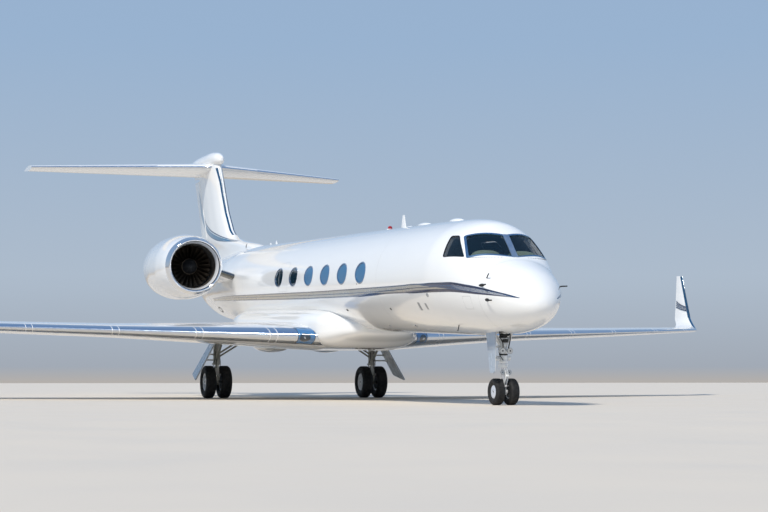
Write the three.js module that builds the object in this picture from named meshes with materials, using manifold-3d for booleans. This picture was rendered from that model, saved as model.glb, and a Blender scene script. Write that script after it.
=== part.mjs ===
// A business jet parked on its gear, in millimetres, +Z up, nose towards -Y, port side at +X.
// The airframe is drawn level in its own group: X to port, Y aft from the nose tip, Z above the body's axis.
// That group is then lowered at the nose, as the jet stands, and the gear is drawn upright on the ground.
import * as THREE from "three";
import { mergeVertices } from "three/addons/utils/BufferGeometryUtils.js";
import Module from "manifold-3d";

const wasm = await Module();
wasm.setup();

// Driving dimensions
const TOUCH = 0.3;
const STANCE = { pitch: THREE.MathUtils.degToRad(2.3), noseY: -14695, axisHeight: 2407 };
const WALL = 90;
const FLOOR_HEIGHT = -790;
const BODY_SIDES = 28;
const WHEEL_SIDES = 24;
const CUTS = { nose: 1050, front: 5750, rear: 16600, tail: 22300 };
const DOOR = { front: 3870, rear: 4780, sill: -790, head: 780, gap: 10, corner: 130 };
const STAIR = { steps: 6, width: 620, back: 870, sink: 80, tilt: THREE.MathUtils.degToRad(50) };
const BAGGAGE = { front: 17250, rear: 18150, sill: -640, head: 80, gap: 8, corner: 110 };
const PORTHOLE = { count: 6, first: 6800, pitch: 1262, height: 150, length: 660, tall: 460 };
const ENGINE = { x: 2440, y: 16920, z: 525, toe: THREE.MathUtils.degToRad(3.5), struts: 5 };
const MAIN_GEAR = { x: 2185, y: 825, spread: 212, radius: 430, rim: 230, width: 279 };
const NOSE_GEAR = { y: -12895, spread: 150, radius: 257, rim: 128, width: 184 };
const SURFACE_GAP = 15;
const NOSE_SHARE = 0.97;
const NOSE_STEPS = 6;
const CUT_REACH = 2400;
const CUT_HEIGHT = 900;
const TURN = { flap: 39, aileron: 11, rudder: 22, elevator: 24 };

// Fuselage sections: an upper and a lower half ellipse that meet at the middle height.
const BODY = [
  { at: 0, half: 20, top: -540, bottom: -560, middle: -550 },
  { at: 30, half: 155, top: -415, bottom: -668, middle: -545 },
  { at: 100, half: 280, top: -300, bottom: -760, middle: -530 },
  { at: 300, half: 470, top: -100, bottom: -890, middle: -470 },
  { at: 600, half: 660, top: 100, bottom: -1000, middle: -380 },
  { at: 1050, half: 845, top: 296, bottom: -1084, middle: -270 },
  { at: 1240, half: 900, top: 373, bottom: -1105, middle: -230 },
  { at: 1460, half: 960, top: 575, bottom: -1122, middle: -187 },
  { at: 1680, half: 1015, top: 776, bottom: -1135, middle: -145 },
  { at: 1890, half: 1055, top: 930, bottom: -1142, middle: -110 },
  { at: 2100, half: 1090, top: 1050, bottom: -1145, middle: -80 },
  { at: 2500, half: 1140, top: 1135, bottom: -1150, middle: -40 },
  { at: 3000, half: 1180, top: 1170, bottom: -1150, middle: 0 },
  { at: 4700, half: 1195, top: 1190, bottom: -1150, middle: 0 },
  { at: 17500, half: 1195, top: 1190, bottom: -1150, middle: 0 },
  { at: 19000, half: 1150, top: 1170, bottom: -1110, middle: 20 },
  { at: 20600, half: 1020, top: 1100, bottom: -1020, middle: 50 },
  { at: 22200, half: 840, top: 1000, bottom: -900, middle: 80 },
  { at: 23400, half: 680, top: 900, bottom: -720, middle: 120 },
  { at: 24600, half: 500, top: 790, bottom: -450, middle: 180 },
  { at: 25500, half: 360, top: 680, bottom: -170, middle: 240 },
  { at: 26160, half: 250, top: 580, bottom: 60, middle: 310 },
];

// Belly fairing sections: a squared oval about the height of the wing.
const FAIRING = [
  { at: 8300, half: 500, top: -900, bottom: -1170, middle: -1040 },
  { at: 8900, half: 950, top: -760, bottom: -1380, middle: -1080 },
  { at: 9700, half: 1270, top: -640, bottom: -1570, middle: -1100 },
  { at: 11000, half: 1380, top: -600, bottom: -1640, middle: -1120 },
  { at: 13850, half: 1400, top: -600, bottom: -1700, middle: -1140 },
  { at: 16300, half: 1380, top: -620, bottom: -1700, middle: -1140 },
  { at: 17600, half: 1180, top: -700, bottom: -1540, middle: -1100 },
  { at: 18600, half: 640, top: -860, bottom: -1180, middle: -1020 },
];
const FAIRING_POWER = 3.4;

// Bulges under the fairing, one on each side, that make room for the main wheels
const WHEEL_BULGE = [
  { at: 14150, half: 60, top: -1600, bottom: -1690 },
  { at: 14500, half: 260, top: -1560, bottom: -1760 },
  { at: 15250, half: 330, top: -1540, bottom: -1805 },
  { at: 16000, half: 260, top: -1560, bottom: -1760 },
  { at: 16350, half: 60, top: -1600, bottom: -1680 },
];
const WHEEL_BULGE_X = 760;

// Wing sections of the port side. The trailing heights keep the flap's hinge line straight past the kink.
const WING = [
  { x: 900, lead: 9394, trail: 16670, leadZ: -1300, trailZ: -1330, thick: 0.099 },
  { x: 5400, lead: 12252, trail: 17000, leadZ: -1228, trailZ: -1265, thick: 0.078 },
  { x: 8600, lead: 14284, trail: 17800, leadZ: -1176, trailZ: -1226, thick: 0.084 },
  { x: 13600, lead: 17459, trail: 19050, leadZ: -1093, trailZ: -1063, thick: 0.0927 },
];
const FLAP = { inner: 1620, outer: 8560, innerAt: 15550, outerAt: 16843 };
const AILERON = { inner: 8700, outer: 12500, at: 0.77 };
const SPOILER = { inner: 2900, outer: 8300, front: 900, back: 190, panels: 3, skin: 28, recess: 66, gap: 12 };
const WINGLET = [
  { x: 13600, lead: 17459, trail: 19050, leadZ: -1093, trailZ: -1063, lean: 0, thick: 0.0927 },
  { x: 13800, lead: 17790, trail: 19150, leadZ: -1056, trailZ: -1036, lean: 30, thick: 0.087 },
  { x: 13960, lead: 18230, trail: 19330, leadZ: -930, trailZ: -925, lean: 66, thick: 0.08 },
  { x: 14070, lead: 18620, trail: 19590, leadZ: -720, trailZ: -720, lean: 75, thick: 0.075 },
  { x: 14240, lead: 19440, trail: 19790, leadZ: 630, trailZ: 640, lean: 75, thick: 0.07 },
];

// Tail sections
const FIN = [
  { z: 700, lead: 21120, trail: 25560, thick: 0.115 },
  { z: 1540, lead: 22010, trail: 26050, thick: 0.115 },
  { z: 2400, lead: 22890, trail: 26560, thick: 0.114 },
  { z: 4030, lead: 24046, trail: 27518, thick: 0.1 },
];
const FIN_FILLET = [
  { z: 1000, lead: 18900, trail: 22600, thick: 0.08 },
  { z: 1400, lead: 20700, trail: 22900, thick: 0.1 },
  { z: 1560, lead: 21600, trail: 23100, thick: 0.13 },
  { z: 1850, lead: 22280, trail: 23500, thick: 0.16 },
];
const RUDDER = { low: 1330, high: 3600, at: 0.71 };
const STABILIZER = [
  { x: 0, lead: 24370, trail: 28480, z: 3937, thick: 0.098 },
  { x: 5380, lead: 28085, trail: 29850, z: 4014, thick: 0.095 },
];
const ELEVATOR = { inner: 420, outer: 5020, at: 0.72 };
const BULLET = [
  { at: 23740, half: 30, top: 4180, bottom: 4100 },
  { at: 23860, half: 110, top: 4280, bottom: 4010 },
  { at: 24250, half: 190, top: 4395, bottom: 3975 },
  { at: 24900, half: 230, top: 4450, bottom: 3960 },
  { at: 26300, half: 235, top: 4415, bottom: 3950 },
  { at: 27600, half: 180, top: 4310, bottom: 3950 },
  { at: 28400, half: 70, top: 4180, bottom: 4030 },
];

// Windows, as corner points on the port side
const WINDSHIELD = [[58, 1243, 374], [58, 1692, 784], [690, 2030, 764], [805, 1614, 362]];
const SIDE_WINDOW = [[745, 2212, 778], [805, 2473, 784], [1039, 2335, 368], [859, 1698, 354]];

// Finishes
function finish(color, roughness, metalness) {
  return new THREE.MeshStandardMaterial({ color, roughness, metalness });
}
const WHITE = finish(0xf4f5f6, 0.22, 0);
const WING_GREY = finish(0xd9dcdf, 0.35, 0.1);
const GLASS = finish(0x1c242b, 0.08, 0);
const DARK = finish(0x2a2d31, 0.7, 0.2);
const TITANIUM = finish(0x5c5f64, 0.4, 0.9);
const RUBBER = finish(0x17181a, 0.85, 0);
const HUB = finish(0xd5d8da, 0.4, 0.5);
const LEATHER = finish(0xb9a98e, 0.7, 0);

// Solids
// The faces of a geometry turned to point outwards, whatever way round its rings or its mirror left them.
function outward(geometry) {
  const spots = geometry.getAttribute("position");
  const corners = geometry.getIndex().array;
  const [a, b, c] = [new THREE.Vector3(), new THREE.Vector3(), new THREE.Vector3()];
  let volume = 0;
  for (let face = 0; face < corners.length; face += 3) {
    a.fromBufferAttribute(spots, corners[face]);
    b.fromBufferAttribute(spots, corners[face + 1]);
    c.fromBufferAttribute(spots, corners[face + 2]);
    volume += a.dot(b.cross(c));
  }
  if (volume < 0) {
    for (let face = 0; face < corners.length; face += 3) {
      [corners[face], corners[face + 1]] = [corners[face + 1], corners[face]];
    }
  }
  return geometry;
}

function solidOf(geometry) {
  const bare = new THREE.BufferGeometry();
  bare.setAttribute("position", geometry.getAttribute("position"));
  bare.setIndex(geometry.getIndex());
  const merged = outward(mergeVertices(bare, 0.01));
  const points = Float32Array.from(merged.getAttribute("position").array);
  const corners = Uint32Array.from(merged.getIndex().array);
  return new wasm.Manifold(new wasm.Mesh({ numProp: 3, vertProperties: points, triVerts: corners }));
}

function geometryOf(solid) {
  const mesh = solid.getMesh();
  const geometry = new THREE.BufferGeometry();
  geometry.setAttribute("position", new THREE.BufferAttribute(Float32Array.from(mesh.vertProperties), 3));
  geometry.setIndex(new THREE.BufferAttribute(Uint32Array.from(mesh.triVerts), 1));
  return geometry;
}

function moved(solid, matrix) {
  return solidOf(geometryOf(solid).applyMatrix4(matrix));
}

function mirrored(solid) {
  return moved(solid, new THREE.Matrix4().makeScale(-1, 1, 1));
}

function shifted(solid, x, y, z) {
  return moved(solid, new THREE.Matrix4().makeTranslation(x, y, z));
}

function joined(solids) {
  return solids.reduce((whole, piece) => whole.add(piece));
}

// A closed skin through rings of equally many points, with a fan over each end.
function loft(rings) {
  const size = rings[0].length;
  const points = rings.flat();
  const faces = [];
  for (let ring = 0; ring + 1 < rings.length; ring += 1) {
    for (let side = 0; side < size; side += 1) {
      const here = ring * size + side;
      const next = ring * size + ((side + 1) % size);
      faces.push(here, next, next + size, here, next + size, here + size);
    }
  }
  for (const end of [0, rings.length - 1]) {
    const middle = new THREE.Vector3();
    rings[end].forEach((point) => middle.addScaledVector(point, 1 / size));
    points.push(middle);
    for (let side = 0; side < size; side += 1) {
      const here = end * size + side;
      const next = end * size + ((side + 1) % size);
      faces.push(...(end === 0 ? [points.length - 1, next, here] : [points.length - 1, here, next]));
    }
  }
  const geometry = new THREE.BufferGeometry().setFromPoints(points);
  geometry.setIndex(faces);
  return solidOf(geometry);
}

function box(low, high) {
  const size = high.map((value, axis) => value - low[axis]);
  const geometry = new THREE.BoxGeometry(...size);
  geometry.translate(...low.map((value, axis) => value + size[axis] / 2));
  return solidOf(geometry);
}

// A round bar between two points, with its own radius at each end.
function bar(from, to, radius, endRadius = radius, sides = 12) {
  const start = new THREE.Vector3(...from);
  const end = new THREE.Vector3(...to);
  const geometry = new THREE.CylinderGeometry(endRadius, radius, start.distanceTo(end), sides);
  const turn = new THREE.Quaternion().setFromUnitVectors(
    new THREE.Vector3(0, 1, 0),
    end.clone().sub(start).normalize(),
  );
  geometry.applyQuaternion(turn);
  geometry.translate(...start.add(end).multiplyScalar(0.5).toArray());
  return solidOf(geometry);
}

// A ring or disc from [radius, place] pairs turned about the Y axis, or about X.
function turned(profile, sides, alongX = false) {
  const geometry = new THREE.LatheGeometry(profile.map(([r, y]) => new THREE.Vector2(r, y)), sides);
  if (alongX) {
    geometry.rotateZ(-Math.PI / 2);
  }
  return solidOf(geometry);
}

// A flat outline of X and Z drawn out along Y.
function extruded(outline, from, to) {
  const options = { depth: to - from, bevelEnabled: false };
  const geometry = new THREE.ExtrudeGeometry(new THREE.Shape(outline), options);
  geometry.rotateX(Math.PI / 2);
  geometry.translate(0, to, 0);
  return solidOf(geometry);
}

// A plate cut from a closed outline, from one plane to another across it.
function prism(outline, direction, ahead, behind) {
  const along = direction.clone().normalize();
  const ring = (reach) => outline.map((point) => point.clone().addScaledVector(along, reach));
  return loft([ring(-behind), ring(ahead)]);
}

function pointsOf(rows) {
  return rows.map((row) => new THREE.Vector3(...row));
}

// A closed outline with its corners rounded.
function rounded(corners, radius, steps) {
  return corners.flatMap((corner, index) => {
    const before = corners[(index + corners.length - 1) % corners.length];
    const after = corners[(index + 1) % corners.length];
    const start = corner.clone().add(before.clone().sub(corner).setLength(radius));
    const end = corner.clone().add(after.clone().sub(corner).setLength(radius));
    return new THREE.QuadraticBezierCurve3(start, corner, end).getPoints(steps);
  });
}

// An outline drawn in towards its middle by about the given gap.
function drawnIn(outline, gap) {
  const middle = new THREE.Vector3();
  outline.forEach((point) => middle.addScaledVector(point, 1 / outline.length));
  return outline.map((point) => {
    const reach = point.distanceTo(middle);
    return point.clone().lerp(middle, gap / reach);
  });
}

// A table's columns at a place between two of its rows.
function rowAt(table, key, place) {
  const last = table.length - 2;
  const index = Math.min(last, Math.max(0, table.findLastIndex((row) => row[key] <= place)));
  const [low, high] = [table[index], table[index + 1]];
  const share = (place - low[key]) / (high[key] - low[key]);
  const between = (name) => low[name] + share * (high[name] - low[name]);
  return Object.fromEntries(Object.keys(low).map((name) => [name, between(name)]));
}

// Fuselage
function ovalRing(row, inset, power = 2, sides = BODY_SIDES) {
  const middle = row.middle ?? (row.top + row.bottom) / 2;
  return Array.from({ length: sides }, (_, index) => {
    const angle = (index / sides) * 2 * Math.PI;
    const [across, up] = [Math.cos(angle), Math.sin(angle)].map(
      (part) => Math.sign(part) * Math.abs(part) ** (2 / power),
    );
    const reach = up > 0 ? row.top - middle - inset : middle - row.bottom - inset;
    return new THREE.Vector3((row.half - inset) * across, row.at, middle + reach * up);
  });
}

// A length of the fuselage. rows gives the sections that it keeps, and inset draws it in all round.
function bodyTube(front, rear, inset = 0, rows = BODY) {
  const places = rows.map((row) => row.at).filter((at) => at > front + 1 && at < rear - 1);
  return loft([front, ...places, rear].map((at) => ovalRing(rowAt(BODY, "at", at), inset)));
}

// The space inside the walls above the floor.
function cabinSpace(front, rear) {
  const everySecond = BODY.filter((row, index) => index % 2 === 0);
  const aboveFloor = box([-2000, front, FLOOR_HEIGHT], [2000, rear, 2000]);
  return bodyTube(front, rear, WALL, everySecond).intersect(aboveFloor);
}

function sideOutline(item, grow) {
  const [front, rear] = [item.front - grow, item.rear + grow];
  const [low, high] = [item.sill - grow, item.head + grow];
  const corners = pointsOf([[0, front, low], [0, rear, low], [0, rear, high], [0, front, high]]);
  return rounded(corners, item.corner, 3);
}

function portholeOutline(index, shrink) {
  const shape = new THREE.EllipseCurve(
    PORTHOLE.first + PORTHOLE.pitch * index,
    PORTHOLE.height,
    PORTHOLE.length / 2 - shrink,
    PORTHOLE.tall / 2 - shrink,
  );
  return shape.getPoints(16).slice(0, 16).map((point) => new THREE.Vector3(0, point.x, point.y));
}

const PORT = new THREE.Vector3(1, 0, 0);
const WINDSHIELD_FACING = new THREE.Vector3(0.36, -0.63, 0.69);
const SIDE_WINDOW_FACING = new THREE.Vector3(0.83, -0.3, 0.47);

const windshieldOutline = rounded(pointsOf(WINDSHIELD), 45, 2);
const sideWindowOutline = rounded(pointsOf(SIDE_WINDOW), 60, 2);
const windshieldHole = prism(windshieldOutline, WINDSHIELD_FACING, 200, 330);
const sideWindowHole = prism(sideWindowOutline, SIDE_WINDOW_FACING, 200, 300);
const doorHole = prism(sideOutline(DOOR, DOOR.gap), PORT, 1400, -500);
const baggageHole = prism(sideOutline(BAGGAGE, BAGGAGE.gap), PORT, 1400, -700);

const NOSE_BAY = { half: 300, front: 1180, rear: 2650, roof: -880 };
const noseBay = box([-NOSE_BAY.half, NOSE_BAY.front, -1400], [NOSE_BAY.half, NOSE_BAY.rear, NOSE_BAY.roof]);

const noseCone = bodyTube(0, CUTS.nose - TOUCH);
const forwardShell = bodyTube(CUTS.nose, CUTS.front - TOUCH)
  .subtract(cabinSpace(CUTS.nose + 100, CUTS.front + 10))
  .subtract(windshieldHole)
  .subtract(mirrored(windshieldHole))
  .subtract(sideWindowHole)
  .subtract(mirrored(sideWindowHole))
  .subtract(doorHole)
  .subtract(noseBay);

const portholes = Array.from({ length: PORTHOLE.count }, (_, index) =>
  prism(portholeOutline(index, 0), PORT, 1400, 1400),
);
const cabinShell = portholes.reduce(
  (shell, hole) => shell.subtract(hole),
  bodyTube(CUTS.front, CUTS.rear - TOUCH).subtract(cabinSpace(CUTS.front - 10, CUTS.rear + 10)),
);

const AFT_WALL = 120;
const aftShell = bodyTube(CUTS.rear, CUTS.tail - TOUCH)
  .subtract(cabinSpace(CUTS.rear - 10, CUTS.tail - AFT_WALL))
  .subtract(baggageHole);
const exhaust = bar([0, 26200, 320], [0, 25500, 280], 130, 130, 20);
const tailCone = bodyTube(CUTS.tail, 26160).subtract(exhaust);

// Panes follow the skin, a little below it.
function paneBand(front, rear, outer, inner) {
  return bodyTube(front, rear, outer).subtract(bodyTube(front - 5, rear + 5, inner));
}
const cockpitBand = paneBand(1100, 2700, 10, 45);
const windshieldPlan = prism(drawnIn(windshieldOutline, 1), WINDSHIELD_FACING, 190, 320);
const windshield = cockpitBand.intersect(windshieldPlan);
const cockpitWindowPlan = prism(drawnIn(sideWindowOutline, 1), SIDE_WINDOW_FACING, 190, 290);
const cockpitWindow = cockpitBand.intersect(cockpitWindowPlan);

const GLAZING = { front: 6350, rear: 13560, low: -190, high: 490 };
const glazingStrip = paneBand(GLAZING.front, GLAZING.rear, WALL + 1, WALL + 12).intersect(
  box([0, GLAZING.front, GLAZING.low], [1400, GLAZING.rear, GLAZING.high]),
);
const plugBand = paneBand(GLAZING.front, GLAZING.rear, 18, WALL + 6);
const plugs = Array.from({ length: PORTHOLE.count }, (_, index) =>
  plugBand.intersect(prism(portholeOutline(index, 1), PORT, 1400, -700)),
);
const cabinGlazing = joined([glazingStrip, ...plugs]);

// Entry door with its stair, hinged along its sill
const doorSkin = bodyTube(CUTS.nose, CUTS.front)
  .subtract(bodyTube(CUTS.nose - 5, CUTS.front + 5, WALL))
  .intersect(prism(sideOutline(DOOR, -DOOR.gap), PORT, 1400, -500));

// The stair's side view, as points of X and Z: treads and risers inside, and the door's skin outside.
function stairOutline() {
  const foot = DOOR.sill + STAIR.sink;
  const pitch = (DOOR.head - DOOR.sill - 170) / STAIR.steps;
  const tread = 0.75 * pitch * Math.sin(STAIR.tilt);
  const steps = Array.from({ length: STAIR.steps }, (_, step) => [
    new THREE.Vector2(STAIR.back - tread, foot + pitch * (step + 0.32)),
    new THREE.Vector2(STAIR.back, foot + pitch * (step + 1)),
  ]);
  const skin = [new THREE.Vector2(1150, DOOR.head - 90), new THREE.Vector2(1150, foot)];
  return [new THREE.Vector2(STAIR.back, foot), ...steps.flat(), ...skin];
}

function stairSolid() {
  const from = (DOOR.front + DOOR.rear - STAIR.width) / 2;
  const insideSkin = bodyTube(CUTS.nose, CUTS.front, WALL - 20);
  return extruded(stairOutline(), from, from + STAIR.width).intersect(insideSkin);
}

const entryDoor = doorSkin.add(stairSolid());
const baggageDoor = bodyTube(CUTS.rear, CUTS.tail)
  .subtract(bodyTube(CUTS.rear - 5, CUTS.tail + 5, WALL))
  .intersect(prism(sideOutline(BAGGAGE, 0), PORT, 1400, -700));

// Belly fairing, hollowed by the body that it wraps
function fairingBlock(grow) {
  return loft(FAIRING.map((row) => ovalRing(row, -grow, FAIRING_POWER, 36)));
}
const wheelBulge = shifted(loft(WHEEL_BULGE.map((row) => ovalRing(row, 0, 2, 16))), WHEEL_BULGE_X, 0, 0);
const bellyFairing = joined([fairingBlock(0), wheelBulge, mirrored(wheelBulge)])
  .subtract(bodyTube(8000, 19000, -TOUCH));

// Aerofoils: the half thickness at each share of the chord, for a thickness of one.
const FOIL = [
  { share: 0, half: 0 },
  { share: 0.012, half: 0.15 },
  { share: 0.045, half: 0.27 },
  { share: 0.12, half: 0.395 },
  { share: 0.26, half: 0.485 },
  { share: 0.42, half: 0.49 },
  { share: 0.58, half: 0.425 },
  { share: 0.72, half: 0.315 },
  { share: 0.86, half: 0.175 },
  { share: 1, half: 0.02 },
];

// A closed aerofoil ring from its leading point, its trailing point and the way its thickness runs.
function foilRing(lead, trail, thick, across) {
  const chord = trail.clone().sub(lead);
  const depth = thick * chord.length();
  const edge = (row, side) =>
    lead.clone().addScaledVector(chord, row.share).addScaledVector(across, side * row.half * depth);
  const upper = FOIL.map((row) => edge(row, 1));
  const lower = FOIL.slice(1).map((row) => edge(row, -1));
  return [...upper, ...lower.reverse()];
}

const UP = new THREE.Vector3(0, 0, 1);

function wingRing(row) {
  const lead = new THREE.Vector3(row.x, row.lead, row.leadZ);
  const trail = new THREE.Vector3(row.x, row.trail, row.trailZ);
  return foilRing(lead, trail, row.thick, UP);
}

const wingBlank = loft(WING.map(wingRing));

function foilHalf(share) {
  return rowAt(FOIL, "share", share).half;
}

// The middle of the wing's thickness and half that thickness, at a share of the chord or at a place in Y.
function wingHinge(x, place) {
  const row = rowAt(WING, "x", x);
  const share = place <= 1 ? place : (place - row.lead) / (row.trail - row.lead);
  const centre = new THREE.Vector3(
    x,
    row.lead + share * (row.trail - row.lead),
    row.leadZ + share * (row.trailZ - row.leadZ),
  );
  return { centre, half: foilHalf(share) * row.thick * (row.trail - row.lead) };
}

// A cutter along a hinge line, through stations that give the hinge's point and the nose radius there.
// up is the way the surface's thickness runs, and the lips are how far the cut's two edges lie ahead.
function hingeCutter(stations, up, upperLip, lowerLip) {
  const along = stations.at(-1).centre.clone().sub(stations[0].centre).normalize();
  const aft = along.clone().cross(up).normalize();
  aft.multiplyScalar(Math.sign(aft.y));
  return loft(
    stations.map(({ centre, radius }) => {
      const spot = (ahead, high) => centre.clone().addScaledVector(aft, -ahead).addScaledVector(up, high);
      const [start, end] = [upperLip, lowerLip].map((lip) => Math.acos(Math.min(1, lip(radius) / radius)));
      const arc = Array.from({ length: NOSE_STEPS + 1 }, (_, step) => {
        const angle = start - (step / NOSE_STEPS) * (start + end);
        return spot(radius * Math.cos(angle), radius * Math.sin(angle));
      });
      return [
        spot(upperLip(radius), CUT_HEIGHT),
        ...arc,
        spot(lowerLip(radius), -CUT_HEIGHT),
        spot(-CUT_REACH, -CUT_HEIGHT),
        spot(-CUT_REACH, CUT_HEIGHT),
      ];
    }),
  );
}

// The space between a surface's two ends. Its far end opens out aft, where the turned surface moves out.
function spanSpace(span, low, high, opening, across) {
  const [front, rear] = [span.front - 1500, span.front + 3000];
  const splay = ((rear - front) / CUT_REACH) * opening;
  const corners = [[low, front], [high, front], [high + splay, rear], [low, rear]];
  return prism(corners.map(([place, y]) => span.spot(place, y)), across, 6000, 6000);
}

// A hinged surface and the cove that it sits in. turns are how far it swings up and down, in degrees, and
// the cove's lips lie as far ahead of the hinge as those swings ask for. span.under is the gap below its low
// end: on a slanted hinge the thick low end slides along the span as it turns.
function hinged(blank, stations, up, turns, span) {
  const lip = (turn) => (radius) => {
    const swing = radius * Math.sin(THREE.MathUtils.degToRad(turn));
    return Math.min(radius * 0.98, swing + SURFACE_GAP);
  };
  const flat = () => 0;
  const grown = (gap) =>
    stations.map(({ centre, radius }) => ({ centre, radius: radius * NOSE_SHARE + gap }));
  const surfaceSpan = spanSpace(span, span.low, span.high, 0, up);
  const coveSpan = spanSpace(span, span.low - span.under, span.high + SURFACE_GAP, span.opening, up);
  return {
    surface: blank.intersect(hingeCutter(grown(0), up, flat, flat)).intersect(surfaceSpan),
    cutter: hingeCutter(grown(SURFACE_GAP), up, lip(turns[0]), lip(turns[1])).intersect(coveSpan),
  };
}

// Hinge stations carried past both ends, so that the ends are cut by the span's own limits.
function extended(stations, reach) {
  const past = (end, inner) => {
    const step = end.centre.clone().sub(inner.centre);
    const share = reach / step.length();
    return {
      centre: end.centre.clone().addScaledVector(step, share),
      radius: end.radius + (end.radius - inner.radius) * share,
    };
  };
  return [past(stations[0], stations[1]), ...stations.slice(1, -1), past(stations.at(-1), stations.at(-2))];
}

const alongX = (place, y) => new THREE.Vector3(place, y, 0);
const alongZ = (place, y) => new THREE.Vector3(0, y, place);
function flapLine(x) {
  return FLAP.innerAt + ((x - FLAP.inner) / (FLAP.outer - FLAP.inner)) * (FLAP.outerAt - FLAP.innerAt);
}

const flapStations = [FLAP.inner, WING[1].x, FLAP.outer].map((x) => {
  const { centre, half } = wingHinge(x, flapLine(x));
  return { centre, radius: half };
});
const aileronStations = [AILERON.inner, AILERON.outer].map((x) => {
  const { centre, half } = wingHinge(x, AILERON.at);
  return { centre, radius: half };
});
const flap = hinged(wingBlank, extended(flapStations, 250), UP, [0, TURN.flap], {
  low: FLAP.inner,
  high: FLAP.outer,
  under: 32,
  front: FLAP.innerAt,
  opening: 50,
  spot: alongX,
});
const aileron = hinged(wingBlank, extended(aileronStations, 400), UP, [TURN.aileron, TURN.aileron], {
  low: AILERON.inner,
  high: AILERON.outer,
  under: SURFACE_GAP,
  front: aileronStations[0].centre.y,
  opening: 10,
  spot: alongX,
});

// Spoilers: three panels of the upper skin on one hinge bar, over a shallow recess
function spoilerPlan(inner, outer, grow) {
  const corners = [
    [inner - grow, flapLine(inner) - SPOILER.front - grow],
    [outer + grow, flapLine(outer) - SPOILER.front - grow],
    [outer + grow, flapLine(outer) - SPOILER.back + grow],
    [inner - grow, flapLine(inner) - SPOILER.back + grow],
  ];
  return prism(corners.map(([x, y]) => new THREE.Vector3(x, y, -1400)), UP, 900, 200);
}

function spoilerPanels() {
  const reach = (SPOILER.outer - SPOILER.inner) / SPOILER.panels;
  const skin = wingBlank.subtract(shifted(wingBlank, 0, 0, -SPOILER.skin));
  return Array.from({ length: SPOILER.panels }, (_, index) => {
    const inner = SPOILER.inner + reach * index + (index ? SPOILER.gap : 0);
    return skin.intersect(spoilerPlan(inner, SPOILER.inner + reach * (index + 1), 0));
  });
}

function wingTop(x, place) {
  const row = rowAt(WING, "x", x);
  const { centre } = wingHinge(x, place);
  const share = (place - row.lead) / (row.trail - row.lead);
  return centre.z + foilHalf(share) * row.thick * (row.trail - row.lead);
}

const spoilerHinge = [SPOILER.inner, SPOILER.outer].map((x) => {
  const y = flapLine(x) - SPOILER.front;
  return new THREE.Vector3(x, y, wingTop(x, y));
});
const hingeBar = bar(
  [spoilerHinge[0].x + 5, spoilerHinge[0].y + 26, spoilerHinge[0].z - SPOILER.skin],
  [spoilerHinge[1].x - 5, spoilerHinge[1].y + 26, spoilerHinge[1].z - SPOILER.skin],
  12,
  12,
  8,
);
const spoilers = joined([hingeBar, ...spoilerPanels()]);
const spoilerRecess = spoilerPlan(SPOILER.inner, SPOILER.outer, SPOILER.gap).intersect(
  shifted(wingBlank, 0, 0, 100).subtract(shifted(wingBlank, 0, 0, -SPOILER.recess)),
);

const fairingCutter = fairingBlock(TOUCH).add(bodyTube(8000, 19000, -TOUCH));
const wing = wingBlank.subtract(flap.cutter).subtract(aileron.cutter).subtract(spoilerRecess);

const winglet = loft(
  WINGLET.map((row) => {
    const lean = THREE.MathUtils.degToRad(row.lean);
    const across = new THREE.Vector3(-Math.sin(lean), 0, Math.cos(lean));
    const nudge = row === WINGLET[0] ? TOUCH : 0;
    const lead = new THREE.Vector3(row.x + nudge, row.lead, row.leadZ);
    const trail = new THREE.Vector3(row.x + nudge, row.trail, row.trailZ);
    return foilRing(lead, trail, row.thick, across);
  }),
);

// Fin and rudder
function finRing(row) {
  const [lead, trail] = [row.lead, row.trail].map((y) => new THREE.Vector3(0, y, row.z));
  return foilRing(lead, trail, row.thick, PORT);
}

const finBlank = joined([loft(FIN.map(finRing)), loft(FIN_FILLET.map(finRing))]);
const bodyCutter = bodyTube(15000, 26160, -TOUCH);

const bullet = loft(BULLET.map((row) => ovalRing(row, 0, 2, 24)));
const bulletCutter = loft(BULLET.map((row) => ovalRing(row, -TOUCH, 2, 24)));

function finHinge(z) {
  const row = rowAt(FIN, "z", z);
  return {
    centre: new THREE.Vector3(0, row.lead + RUDDER.at * (row.trail - row.lead), z),
    radius: foilHalf(RUDDER.at) * row.thick * (row.trail - row.lead),
  };
}
const rudderStations = [RUDDER.low, RUDDER.high].map(finHinge);
const rudder = hinged(finBlank, extended(rudderStations, 900), PORT, [TURN.rudder, TURN.rudder], {
  low: RUDDER.low,
  high: RUDDER.high,
  under: 60,
  front: rudderStations[0].centre.y,
  opening: 70,
  spot: alongZ,
});
// Stabilizer and elevators
function stabilizerRing(row, side = 1) {
  const lead = new THREE.Vector3(side * row.x, row.lead, row.z);
  const trail = new THREE.Vector3(side * row.x, row.trail, row.z);
  return foilRing(lead, trail, row.thick, UP);
}

const [stabilizerRoot, stabilizerTip] = STABILIZER;
const stabilizerBlank = loft([
  stabilizerRing(stabilizerTip, -1),
  stabilizerRing(stabilizerRoot),
  stabilizerRing(stabilizerTip, 1),
]);
const elevatorStations = [ELEVATOR.inner, ELEVATOR.outer].map((x) => {
  const row = rowAt(STABILIZER, "x", x);
  return {
    centre: new THREE.Vector3(x, row.lead + ELEVATOR.at * (row.trail - row.lead), row.z),
    radius: foilHalf(ELEVATOR.at) * row.thick * (row.trail - row.lead),
  };
});
const elevatorTurns = [TURN.elevator, TURN.elevator];
const elevator = hinged(stabilizerBlank, extended(elevatorStations, 500), UP, elevatorTurns, {
  low: ELEVATOR.inner,
  high: ELEVATOR.outer,
  under: 32,
  front: elevatorStations[0].centre.y,
  opening: 60,
  spot: alongX,
});
const stabilizer = stabilizerBlank
  .subtract(elevator.cutter)
  .subtract(mirrored(elevator.cutter))
  .subtract(bulletCutter);
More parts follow.
